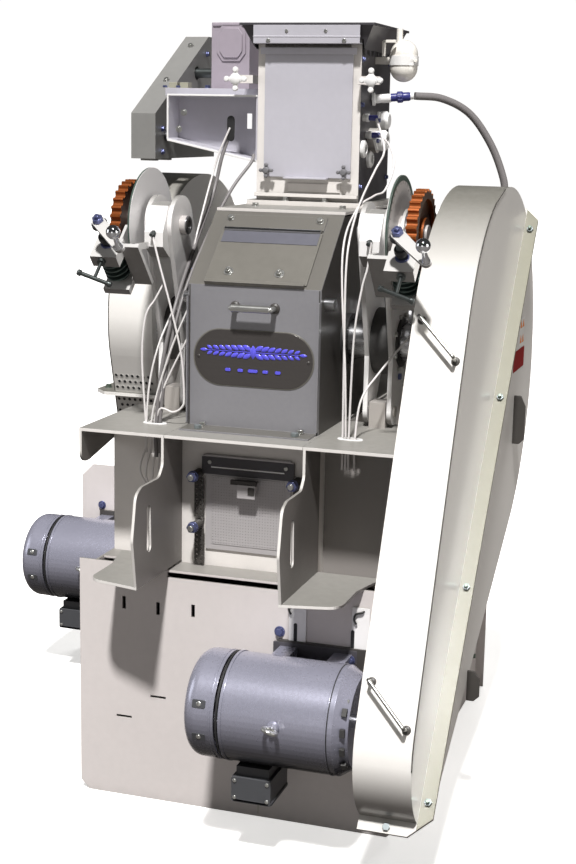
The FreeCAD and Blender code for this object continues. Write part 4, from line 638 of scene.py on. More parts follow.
def housing_details():
    bolts = Build()
    for x, y, z in ((-116, -144, 1564), (132, -146, 1564), (-58, -60, 1577), (55, -60, 1577),
                    (-133, -488, 1014.5), (133, -488, 1014.5)):
        bolt(bolts, (x, y, z), (0, 0, 1), 16, 8, 22)
    for x in (-126, 119.5):
        bolt(bolts, on_slant(x, 232, 4), SLANT_OUT, 14, 7, 20)
    bolts.piece("housing_bolts", "zinc", bevel=0.5, slot="fasteners")
    screws = Build()
    for x in (-80, 57):
        screws.ring([(3, 0), (13, 0), (13, 1.6), (3, 1.6)], spot(on_slant(x, 44, 4.6), SLANT_OUT), 28)
        screws.hexagon(15, 8, spot(on_slant(x, 44, 6.2), SLANT_OUT))
        screws.lathe([(0, 0), (4.5, 0), (4.5, 5), (3.5, 6), (0, 6)], spot(on_slant(x, 44, 14.2), SLANT_OUT), 16)
    screws.piece("inspection_door_screws", "zinc", "inspection_door_body", 0.4, slot="fasteners")
    seam = Build()
    for x in (-174, 174):
        seam.block(3, 0.8, 367, Matrix.Translation((x, -476.6, 1012)))
    seam.piece("housing_seams", "dark", slot="housing_sheets")
    pin = Build()
    pin.lathe([(0, 0), (5.4, 0), (5.4, 264), (0, 264)], spot(on_slant(-132, 193, 5.6), (1, 0, 0)), 24)
    pin.piece("inspection_door_hinge_tube", "chrome", "inspection_door_body", 0.4, slot="inspection_door")
    leaf = Build()
    leaf.block(262, 40, 1.2, spot(on_slant(0, 166, 4.9), SLANT_OUT, (1, 0, 0)))
    leaf.piece("inspection_door_hinge_leaf", "hinge", "inspection_door_body", 0.3, slot="inspection_door")
    feet = Build()
    for x in (-50, 56):
        feet.ring([(7.05, 0), (14, 0), (13, 4), (9, 7), (7.05, 7)], spot((x, -476.2, 1328), (0, -1, 0)), 24)
    feet.piece("housing_handle_feet", "dark", bevel=0.4, slot="pull_handles")
    grip = Build()
    grip.lathe([(6.9, 0), (9.6, 2), (9.6, 104), (6.9, 106)], spot((-50, -510.2, 1328), (1, 0, 0)), 28)
    grip.piece("housing_handle_grip", "zinc", bevel=0.6, slot="pull_handles")
    fold = Build()
    for side in (-1, 1):
        fold.block(2.5, 14, 330, Matrix.Translation((side * 176.6, -484, 1020)))
    fold.piece("housing_front_returns", "house", bevel=0.6, slot="housing_sheets")


# Feeder ----------------------------------------------------------------------------------------------

def feeder_details():
    strip = Build()
    strip.block(300, 3, 48, Matrix.Translation((0, -85, 1999)))
    strip.block(300, 34, 3, Matrix.Translation((0, -69, 1998)))
    strip.block(302, 6, 3, Matrix.Translation((0, -84.5, 2015)))
    strip.piece("feeder_front_strip", "lavender", bevel=0.8, slot="feeder_body")
    screws = Build()
    for x in (-55, 55):
        bolt(screws, (x, -85.9, 2031), (0, -1, 0), 9, 2.5)
    screws.piece("feeder_strip_screws", "zinc", bevel=0.4, slot="fasteners")
    hinge = Build()
    hinge.block(2 * 136, 2.2, 18, Matrix.Translation((0, -60.8, 1971)))
    hinge.piece("feeder_hinge_leaf", "lavender", "feeder_door_body", 0.5, slot="feeder_door")
    knuckles = Build()
    for k in range(20):
        knuckles.lathe([(0, 0), (4.6, 0), (4.6, 11.2), (0, 11.2)],
                       spot((-121 + 12.1 * k, -64, 1994), (1, 0, 0)), 14)
    knuckles.piece("feeder_hinge_knuckles", "dark", bevel=0.4, slot="feeder_door")
    bolts = Build()
    for x in (-107, 107):
        bolt(bolts, (x, -84.6, 2006), (0, -1, 0), 11, 5)
    bolts.piece("feeder_hinge_bolts", "zinc", bevel=0.4, slot="fasteners")
    lip = Build()
    lip.block(296, 18, 10, Matrix.Translation((0, -58, 1588)))
    lip.block(150, 3, 24, Matrix.Translation((20, -51, 1602)))
    lip.piece("feeder_lower_lip", "plate", bevel=0.8, slot="feeder_body")
    for word, side in (("left", -1), ("right", 1)):
        for name, x, y, z, body in (("side", 190.9, -116, 1903, f"side_knob_{word}_body"),
                                    ("door", 111, -80, 1659, f"door_knob_{word}_body")):
            cap = Build()
            reach, lobe = (25, 7.5) if name == "side" else (15, 5)
            cap.lathe([(0, -7), (0.62 * reach, -7), (0.62 * reach, 1), (0.5 * reach, 3.6), (0, 5.2)],
                      spot((side * x, y + 1, z), (0, -1, 0)), 24)
            for k in range(4):
                angle = math.pi / 2 * k
                cap.lathe([(0, -8), (lobe, -8), (lobe, 0.4), (lobe - 1.6, 2), (0, 2.6)],
                          spot((side * x + reach * math.cos(angle), y + 1, z + reach * math.sin(angle)),
                               (0, -1, 0)), 16)
            cap.piece(f"{name}_knob_{word}_lobes", "knob" if name == "side" else "knob_grey", body, 0.4,
                      slot=f"{name}_knob_{word}")
    side = Build()
    for y, z in ((-42, 1722), (27, 1694)):
        side.ring([(12, 0), (24, 0), (24, 8), (18, 12), (12, 12)], spot((147, y + 20, z), (1, 0, 0)), 28)
    side.prism([(-52, 0), (-24, 26), (24, 26), (52, 0), (24, -26), (-24, -26)], 7,
               spot((169, 60, 1745), (1, 0, 0), (0, 1, 0)))
    side.ring([(13, 0), (29, 0), (29, 14), (22, 22), (13, 22)], spot((176, 60, 1745), (1, 0, 0)), 32)
    side.prism([(-46, 0), (-20, 24), (20, 24), (46, 0), (20, -24), (-20, -24)], 7,
               spot((147.2, 150, 1800), (1, 0, 0), (0, 1, 0)))
    side.lathe([(0, 0), (26, 0), (26, 16), (18, 24), (0, 24)], spot((154, 150, 1800), (1, 0, 0)), 32)
    side.piece("feeder_flange_bearings", "knob", bevel=0.6, slot="feeder_body")
    nuts = Build()
    for y, z in ((22, 1745), (98, 1745)):
        bolt(nuts, (176, y, z), (1, 0, 0), 12, 7)
    for y, z in ((116, 1800), (184, 1800)):
        bolt(nuts, (154.2, y, z), (1, 0, 0), 11, 6)
    for x, y, z in ((151, -38, 1840), (151, -38, 1960), (151, 240, 1640), (151, 240, 1960), (151, -38, 1620)):
        bolt(nuts, (x - 4, y, z), (1, 0, 0), 11, 6, 17)
    nuts.piece("feeder_side_bolts", "blue", bevel=0.4, slot="fasteners")
    sensors = Build()
    fittings = Build()
    for y, z in ((-20, 1806), (16, 1760)):
        place = spot((147, y, z), (1, 0, 0))
        fittings.lathe([(0, 0), (10, 0), (10, 10), (0, 10)], place, 20)
        fittings.hexagon(22, 7, place @ Matrix.Translation((0, 0, 10)))
        sensors.lathe([(0, 17), (7.5, 17), (7.5, 38), (6, 41), (0, 41)], place, 20)
    fittings.piece("level_sensor_fittings", "knob", bevel=0.4, slot="feeder_body")
    sensors.piece("level_sensor_bodies", "plug", bevel=0.5, slot="feeder_body")
    hood = Build()
    for y0 in range(-40, 250, 44):
        hood.block(2.2, 16, 14, Matrix.Translation((152.6, y0 + 8, 1971)))
    hood.piece("hood_side_notches", "char", bevel=0.6, slot="feeder_hopper_top")
    tank = Build()
    tank.ring([(38.2, 0), (40.5, 0), (40.5, 26), (38.2, 26)], Matrix.Translation((226, 100, 1949)), 48)
    tank.piece("tank_band", "knob", bevel=0.5, slot="feeder_tank")
    lug = Build()
    lug.block(34, 12, 8, Matrix.Translation((196, 54, 2008)))
    lug.block(8, 12, 40, Matrix.Translation((180, 54, 1972)))
    lug.lathe([(0, 0), (5, 0), (5, 26), (0, 26)], spot((264 - 2, 90, 1962), (0.2, -1, 0)), 14)
    lug.piece("tank_lugs", "tank", bevel=0.8, slot="feeder_tank")


def channel_details():
    bolts = Build()
    for y, z in ((30, 1765), (30, 1700), (380, 1715), (380, 1990)):
        bolt(bolts, (-465, y, z), (1, 0, 0), 12, 6, 18)
    bolt(bolts, (-330, 40, 1880), (0, 0, 1), 14, 7, 20)
    for x in (-440, -400):
        bolt(bolts, (x, -10, 1880), (0, 0, 1), 12, 6)
    bolts.piece("feeder_frame_bolts", "blue", bevel=0.4, slot="fasteners")
    front = Build()
    for y in (150, 340):
        bolt(front, (-502, y, 1808 + (y + 20) * 0.5639), (0, -0.491, 0.871), 13, 6, 19)
    for x, z in ((-365, 1811), (-380, 1765)):
        bolt(front, (x, -51.2, z), (0, -1, 0), 13, 6, 19)
    front.piece("chain_guard_bolts", "zinc", bevel=0.4, slot="fasteners")
    lip = Build()
    lip.block(268, 4, 5, Matrix.Translation((-281, -53, 1857)))
    lip.block(5, 4, 120, Matrix.Translation((-413.5, -53, 1738)))
    lip.prism([(-415, 1733), (-147, 1679), (-147, 1685), (-415, 1739)], 4, spot((0, -51, 0), (0, -1, 0), (1, 0, 0)))
    lip.piece("channel_box_edges", "knob", bevel=0.6, slot="feeder_channel_box")
    grommet = Build()
    grommet.prism(stadium(24, 11, 10), 3, spot((-224, -50.9, 1770), (0, -1, 0), (0, 0, 1)))
    grommet.piece("channel_box_grommet", "rubber", bevel=0.6, slot="feeder_channel_box")
    recess = Build()
    for half_x, half_z, depth in ((44, 52, 4), (35, 42, 8)):
        chop_x, chop_z = half_x * 0.62, half_z * 0.56
        recess.prism([(-half_x, -chop_z), (-chop_x, -half_z), (chop_x, -half_z), (half_x, -chop_z),
                      (half_x, chop_z), (chop_x, half_z), (-chop_x, half_z), (-half_x, chop_z)], depth,
                     spot((-318, 200, 2014), (0, -1, 0), (1, 0, 0)))
    recess.block(112, 6, 8, Matrix.Translation((-320, 199, 2062)))
    recess.piece("gearbox_cover", "panel_grey", bevel=1.2, slot="feeder_gearmotor")
    cap = Build()
    cap.lathe([(0, 0), (60, 0), (60, 4), (0, 4)], spot((-300, 560, 1995), (0, 1, 0)), 40)
    cap.lathe([(0, 0), (76.5, 0), (78.9, 8), (78.9, 70), (74, 84), (54, 92), (0, 94)],
              spot((-300, 470, 1995), (0, 1, 0)), 48)
    cap.piece("gearmotor_fan_cap", "teal", bevel=1.0, slot="feeder_gearmotor")
    fins = Build()
    for k in range(24):
        angle = 2 * math.pi * k / 24
        fins.block(3, 9, 74, spot((-300 + 76 * math.cos(angle), 392, 1993.4 + 76 * math.sin(angle)), (0, 1, 0),
                                  (-math.sin(angle), 0, math.cos(angle))))
    fins.piece("gearmotor_fins", "teal", bevel=0.5, slot="feeder_gearmotor")
    blocks = Build()
    blocks.block(26, 30, 16, Matrix.Translation((-438, 60, 1880)))
    blocks.block(26, 30, 16, Matrix.Translation((-405, 60, 1880)))
    blocks.piece("gear_table_blocks", "flange", bevel=1.0, slot="feeder_channel_box")
    feet = Build()
    for y in (20, 120):
        feet.block(46, 24, 6, Matrix.Translation((-500, y, 1674)))
    feet.piece("chain_guard_feet", "chain", bevel=0.8, slot="feeder_drive_guard")


# Cables and hose -------------------------------------------------------------------------------------

def cables():
    hose = Build()
    hose.tube([(262, 92, 1868), (330, 140, 1862), (400, 184, 1822), (458, 212, 1738), (494, 224, 1648),
               (500, 228, 1596)], 10.5, 16, 12)
    hose.piece("air_hose", "hose", slot="feeder_body")
    plug = Build()
    place = spot((196, 78, 1862), (0.97, 0.2, 0.08))
    plug.lathe([(0, 0), (11, 0), (11, 18), (15, 20), (15, 34), (12, 36), (12, 52), (10, 56), (0, 56)], place, 20)
    for k in range(10):
        angle = 2 * math.pi * k / 10
        plug.block(2, 3, 12, place @ Matrix.Rotation(angle, 4, "Z") @ Matrix.Translation((15, 0, 21)))
    plug.piece("hose_plug", "plug", bevel=0.5, slot="feeder_body")
    socket = Build()
    socket.lathe([(0, 0), (18, 0), (18, 8), (12, 10), (12, 52), (0, 52)], spot((147, 68, 1857), (0.97, 0.2, 0.08)), 24)
    socket.lathe([(0, 0), (9, 0), (9, 14), (0, 14)], spot((246, 89, 1867), (0.98, 0.2, 0.03)), 20)
    socket.piece("hose_socket", "knob", bevel=0.5, slot="feeder_body")
    gland = Build()
    gland.lathe([(0, 0), (17, 0), (17, 14), (13, 22), (0, 22)], spot((500, 228, 1574), (0, 0.1, 1)), 24)
    gland.piece("hose_gland", "rubber", bevel=0.6, slot="right_guard_cover")
    dark = Build()
    dark.tube([(-230, -40, 1760), (-247, -60, 1691), (-257, -100, 1590), (-250, -240, 1470), (-240, -400, 1330),
               (-250, -470, 1180), (-262, -487, 1010), (-262, -487, 920)], 5.2, 10, 8)
    dark.tube([(-153, -62, 1700), (-154, -80, 1678), (-189, -140, 1605), (-214, -260, 1480), (-226, -400, 1330),
               (-240, -470, 1160), (-252, -487, 1010), (-252, -487, 920)], 4.6, 10, 8)
    dark.piece("feeder_conduits", "hose", slot="shelf_brackets")
    bay = Build()
    for k, x in enumerate((-290, -278, -264, -252)):
        bay.tube([(x, -487, 1016), (x, -487, 950), (x - 12 + 5 * k, -500, 880 - 14 * k),
                  (x + 26, -480, 800), (x + 30 + 6 * k, -452, 700)], 2.8, 8, 6)
    bay.piece("bay_cables", "cable", slot="shelf_brackets")


def grease_lines():
    """Thin cables and grease lines from each arm and the feeder down through the slots in the shelf."""
    left = Build()
    left.tube([(-288, -452, 1492), (-262, -466, 1420), (-226, -474, 1308), (-194, -482, 1189),
               (-184, -488, 1086), (-190, -490, 1058), (-214, -490, 1044), (-250, -488, 1050),
               (-262, -487, 1008), (-262, -487, 930)], 2.8, 10, 8)
    left.tube([(-226, -54, 1772), (-252, -66, 1705), (-266, -84, 1640), (-253, -150, 1600), (-253, -330, 1359),
               (-268, -450, 1222), (-284, -480, 1116), (-290, -487, 1008), (-290, -487, 930)], 2.8, 10, 8)
    left.tube([(-262, -442, 1372), (-280, -454, 1332), (-300, -470, 1288), (-306, -480, 1181),
               (-292, -487, 1008), (-292, -487, 930)], 2.8, 10, 8)
    left.tube([(-181, -470, 1316), (-224, -480, 1208), (-262, -486, 1084), (-276, -487, 1008),
               (-276, -487, 930)], 2.8, 10, 8)
    left.tube([(-181, -470, 1241), (-244, -482, 1104), (-268, -487, 1008), (-268, -487, 930)], 2.8, 10, 8)
    left.piece("cables_left", "cable", slot="shelf_brackets")
    right = Build()
    right.tube([(184, -20, 1806), (222, -100, 1760), (240, -140, 1716), (224, -170, 1668), (220, -280, 1597),
                (224, -380, 1522), (227, -430, 1430), (239, -470, 1234), (246, -487, 1008),
                (246, -487, 930)], 2.8, 10, 8)
    right.tube([(184, 16, 1760), (236, -70, 1735), (268, -140, 1685), (256, -180, 1620), (240, -230, 1606),
                (212, -300, 1570), (208, -400, 1460), (246, -480, 1180), (254, -487, 1008),
                (254, -487, 930)], 2.8, 10, 8)
    right.tube([(296, -452, 1503), (290, -458, 1440), (278, -464, 1385), (265, -476, 1261), (262, -487, 1008),
                (262, -487, 930)], 2.8, 10, 8)
    right.tube([(376, -330, 1263), (315, -400, 1173), (284, -460, 1108), (278, -487, 1008),
                (278, -487, 930)], 2.8, 10, 8)
    right.piece("cables_right", "cable", slot="shelf_brackets")
    for word, side in (("left", -1), ("right", 1)):
        fit = Build()
        fit.hexagon(14, 12, spot((side * 290, -440, 1496), (0, -0.6, 0.8)))
        fit.lathe([(0, 0), (5, 0), (5, 16), (0, 16)], spot((side * 290, -446, 1504), (0, -1, -0.4)), 14)
        fit.piece(f"grease_elbow_{word}", "rod", "roll_carriage", 0.4, slot="swing_arms")
        grommet = Build()
        grommet.ring([(12, -3), (17, -3), (18, 0), (17, 3), (12, 3)],
                     Matrix.Translation((side * 266, -487, 1010)) @ Matrix.Diagonal((1.9, 0.9, 1, 1)), 30)
        grommet.piece(f"shelf_grommet_{word}", "knob", slot="shelf_brackets")


# Centre bay ------------------------------------------------------------------------------------------

def bay_details():
    roots = ((-133, 757), (-134, 892), (136, 892))
    pins, nuts, tips, straps = Build(), Build(), Build(), Build()
    for x, z in roots:
        place = spot((x, -496, z), (0, -1, 0))
        pins.lathe([(0, 0), (11, 0), (11, 50), (8, 52), (8, 60), (0, 60)], place, 24)
        for k in range(6):
            pins.torus(11, 1.1, place @ Matrix.Translation((0, 0, 6 + 8 * k)), 24)
        nuts.hexagon(25, 11, place @ Matrix.Translation((0, 0, 54)))
        nuts.ring([(8, 0), (15, 0), (15, 3), (8, 3)], place @ Matrix.Translation((0, 0, 51)), 28)
        tips.lathe([(0, 0), (8, 0), (8, 8), (6.5, 10), (0, 10)], place @ Matrix.Translation((0, 0, 64)), 24)
        hang = spot((x + 2, -506, z - 64), (0, -1, 0), (1, 0, 0))
        straps.perforated(2, 8, 13, 3.0, 3.0, hang)
    pins.piece("bay_pins", "dark", bevel=0.5, slot="core_panels")
    nuts.piece("bay_pin_nuts", "blue", bevel=0.5, slot="fasteners")
    tips.piece("bay_pin_tips", "zinc", bevel=0.5, slot="core_panels")
    straps.piece("bay_pin_straps", "dark", slot="core_panels")
    # A band across the gate's top; its charcoal colour is painted shadow.
    band = Build()
    band.block(252, 1.2, 46, Matrix.Translation((0, -505.4, 892)))
    band.piece("gate_top_shade_band", "char", "discharge_door_body", slot="discharge_door")
    gate = Build()
    gate.block(200, 1.2, 3.2, Matrix.Translation((0, -506.4, 910)))
    gate.piece("gate_light_slot", "knob", "discharge_door_body", slot="discharge_door")
    latch = Build()
    latch.block(70, 8, 12, Matrix.Translation((-2, -530, 876)))
    latch.block(18, 10, 20, Matrix.Translation((20, -531, 852)))
    latch.piece("gate_latch_cover", "dark", "discharge_door_body", 1.0, slot="discharge_door")
    studs = Build()
    for x in (-104, 104):
        bolt(studs, (x, -505.1, 924), (0, -1, 0), 10, 4)
    studs.piece("gate_band_bolts", "zinc", "discharge_door_body", 0.3, slot="discharge_door")
    panel = Build()
    panel.perforated(26, 24, 7.6, 1.5, 1.0, spot((0, -501.2, 796), (0, -1, 0), (1, 0, 0)))
    panel.piece("gate_perforated_sheet", "mesh", "discharge_door_body", slot="discharge_door")
    frame_strip = Build()
    for side in (-1, 1):
        frame_strip.block(6, 6, 214, Matrix.Translation((side * 127, -499, 690)))
    frame_strip.piece("gate_slides", "plate", bevel=0.6, slot="core_panels")


# Base front and motor mount --------------------------------------------------------------------------

def base_details():
    front = -580
    rails = Build()
    for x in (168, 334):
        rails.prism(rounded(46, 150, 4), 5, spot((x, front, 530), (0, -1, 0), (1, 0, 0)))
    rails.piece("motor_mount_rails", "arm", bevel=0.8, slot="motor_mounts")
    strip = Build()
    strip.prism(rounded(222, 36, 3), 6, spot((217, front - 5, 474), (0, -1, 0), (1, 0, 0)))
    strip.piece("motor_mount_strip", "char", bevel=0.8, slot="motor_mounts")
    # Painted shade: thin black patches stand for the open slots in the rails.
    dark = Build()
    for x in (163, 314):
        dark.prism(stadium(20, 4.5, 8), 0.8, spot((x, front - 5, 520), (0, -1, 0), (0, 0, 1)))
    dark.piece("motor_mount_slot_shade", "rubber", slot="motor_mounts")
    bolts = Build()
    for x, z in ((158, 467), (311, 467)):
        bolts.ring([(6, 0), (13, 0), (13, 3), (6, 3)], spot((x, front - 11, z), (0, -1, 0)), 28)
        bolts.hexagon(17, 10, spot((x, front - 14, z), (0, -1, 0)))
        stud(bolts, (x, front - 23, z), (0, -1, 0), 5, 10)
    bolts.ring([(6, 0), (14, 0), (14, 3), (6, 3)], spot((120, front, 516), (0, -1, 0)), 28)
    bolts.hexagon(17, 9, spot((120, front - 3, 516), (0, -1, 0)))
    bolts.piece("motor_mount_bolts", "blue", bevel=0.5, slot="fasteners")
    hooks = Build()
    for x, z in ((150, 586), (322, 580)):
        hooks.tube([(x + 20, front - 4, z + 16), (x + 16, front - 10, z + 14), (x, front - 10, z + 8),
                    (x - 4, front - 10, z - 6), (x + 2, front - 10, z - 18)], 2.8, 10, 6)
    hooks.piece("motor_mount_hooks", "cable_dark", slot="motor_mounts")
    seam = Build()
    seam.block(1.2, 0.6, 200, Matrix.Translation((69, front - 0.3, 8)))
    seam.piece("base_front_seam", "flange", slot="base_front_plate")
    rear = Build()
    for x, z in ((-856.5, 512.6), (-808.7, 475.6), (-700, 512), (-660, 470)):
        bolt(rear, (x, 452, z), (0, -1, 0), 17, 9, 28)
    rear.piece("rear_motor_bolts", "blue", bevel=0.5, slot="fasteners")
    floor_feet = Build()
    for x in (-375, 375):
        for y in (-500, 500):
            floor_feet.ring([(9.5, 0), (18, 0), (18, 3), (9.5, 3)], Matrix.Translation((x, y, 8)), 28)
            floor_feet.hexagon(24, 13, Matrix.Translation((x, y, 11)))
    floor_feet.piece("floor_anchor_nuts", "zinc", bevel=0.6, slot="fasteners")
    back = Build()
    for x in (-380, -190, 0, 190, 400):
        for z in (60, 600):
            bolt(back, (x, 580, z), (0, 1, 0), 13, 7, 20)
    for z in (120, 360, 600):
        for y in (-520, 520):
            bolt(back, (415, y, z), (1, 0, 0), 13, 7, 20)
            bolt(back, (-415, y, z), (-1, 0, 0), 13, 7, 20)
    back.piece("base_panel_bolts", "green", bevel=0.4, slot="fasteners")


# Guards ----------------------------------------------------------------------------------------------

def outline_front(top, low, z):
    """Y of a guard outline's front edge at height z, and the outward normal there as (y, z)."""
    (ty, tz, tr), (ly, lz, lr) = top, low
    reach = math.hypot(ty - ly, tz - lz)
    tilt = math.atan2(tz - lz, ty - ly) + math.asin((tr - lr) / reach)
    normal = (-math.sin(tilt), math.cos(tilt))
    start, end = lz + lr * normal[1], tz + tr * normal[1]
    if z > end:
        sine = (z - tz) / tr
        return ty - tr * math.sqrt(1 - sine ** 2), (-math.sqrt(1 - sine ** 2), sine)
    if z < start:
        sine = (z - lz) / lr
        return ly - lr * math.sqrt(1 - sine ** 2), (-math.sqrt(1 - sine ** 2), sine)
    share = (z - start) / (end - start)
    return ly + lr * normal[0] + share * (ty + tr * normal[0] - ly - lr * normal[0]), normal


LEFT_GUARD = ((272, 1229, 403), (300, 372, 200))
RIGHT_GUARD = ((-62, 1119, 515), (-770, 362, 200))


def guard_details():
    # Painted shade: black discs fill the vent holes, standing for the dark inside the guard; the rims are cream.
    vents, rings = Build(), Build()
    for row in range(17):
        z = 1060 - 18 * row
        if 990 < z < 1024:
            continue
        for column in range(7):
            x = -553 + 17 * column + (8.5 if row % 2 else 0)
            if x > -438:
                continue
            y, normal = outline_front(*LEFT_GUARD, z)
            vents.lathe([(0, -1), (4.6, -1), (4.6, 0.35), (0, 0.35)], spot((x, y, z), (0, *normal)), 12)
            rings.ring([(4.6, 0), (6.2, 0), (5.9, 0.9), (4.6, 0.9)], spot((x, y, z), (0, *normal)), 12)
    vents.piece("left_guard_vent_hole_shade", "rubber", slot="left_guard_upper")
    rings.piece("left_guard_vent_rims", "guard", slot="left_guard_upper")
    nuts = Build()
    for y in (-40, 180, 400, 620):
        bolt(nuts, (-604, y, 1011), (0, 0, 1), 15, 8, 22)
    nuts.piece("left_guard_nuts", "green", bevel=0.4, slot="fasteners")
    under = Build()
    tilt = math.radians(50.2)
    for k in range(4):
        along = 48 + 548 * k
        point = (583, -887 + along * math.cos(tilt) + 5 * math.sin(tilt),
                 204 + along * math.sin(tilt) - 5 * math.cos(tilt))
        under.hexagon(16, 8, spot(point, (0, math.sin(tilt), -math.cos(tilt))))
        up = (583, -887 + along * math.cos(tilt) - 13 * math.sin(tilt),
              204 + along * math.sin(tilt) + 13 * math.cos(tilt))
        stud(under, up, (0, -math.sin(tilt), math.cos(tilt)), 5, 9)
    under.piece("right_guard_bolts", "green", bevel=0.4, slot="fasteners")
    for word, outline, x in (("right", RIGHT_GUARD, 565), ("left", LEFT_GUARD, -563)):
        seam = Build()
        path = [outline_front(*outline, outline[1][1] + (outline[0][1] + outline[0][2] - 4 - outline[1][1]) * k / 40)
                for k in range(41)]
        heights = [outline[1][1] + (outline[0][1] + outline[0][2] - 4 - outline[1][1]) * k / 40 for k in range(41)]
        seam.tube([(x, y, z) for (y, _), z in zip(path, heights)], 1.5, 8, 2)
        seam.piece(f"{word}_guard_seam", "dark", slot=f"{word}_guard_back" if word == "right" else "left_guard_upper")
    label = Build()
    label.prism(rounded(172, 58, 3), 0.9, spot((565, 212, 1137), (1, 0, 0), (0, 1, 0)))
    label.piece("guard_label", "red", bevel=0.2, slot="right_guard_back")
    white = Build()
    white.prism(rounded(74, 84, 3), 0.5, spot((565, 248, 1212), (1, 0, 0), (0, 1, 0)))
    white.piece("guard_label_ground", "paper", bevel=0.1, slot="right_guard_back")
    signs = Build()
    for y, z in ((230, 1234), (266, 1234), (230, 1190), (266, 1190)):
        signs.prism([(0, 14), (-13, -9), (13, -9)], 1.0, spot((565, y, z), (1, 0, 0), (0, 1, 0)))
    signs.piece("guard_label_triangles", "orange", bevel=0.2, slot="right_guard_back")
    tabs = Build()
    tabs.prism([(0, -70), (20, -70), (34, -56), (34, 40), (20, 70), (0, 70)], 8,
               spot((564.6, 176, 968), (0, -1, 0), (1, 0, 0)))
    tabs.prism([(0, -40), (20, -40), (34, -26), (34, 24), (18, 42), (0, 42)], 8,
               spot((564.6, -350, 350), (0, -1, 0), (1, 0, 0)))
    tabs.piece("right_guard_lugs", "dark", bevel=1.5, slot="right_guard_back")
    feet = Build()
    for word, z_high in (("upper", 1328), ("lower", 540)):
        for x, z in ((450, z_high), (545, z_high - 88)):
            y, normal = outline_front(*RIGHT_GUARD, z)
            feet.ring([(4.6, 0), (11, 0), (10, 4), (6, 6), (4.6, 6)], spot((x, y, z), (0, *normal)), 20)
    feet.piece("guard_pull_feet", "dark", bevel=0.4, slot="pull_handles")
    hole = Build()
    for side, y in ((1, -229.5), (-1, 229.5)):
        hole.ring([(60, 0), (84, 0), (84, 6), (60, 6)], spot((side * 427, y, 1229), (-side, 0, 0)), 48)
    hole.piece("guard_shaft_collars", "rubber", bevel=0.8, slot="shaft_seals")
# Motors ----------------------------------------------------------------------------------------------

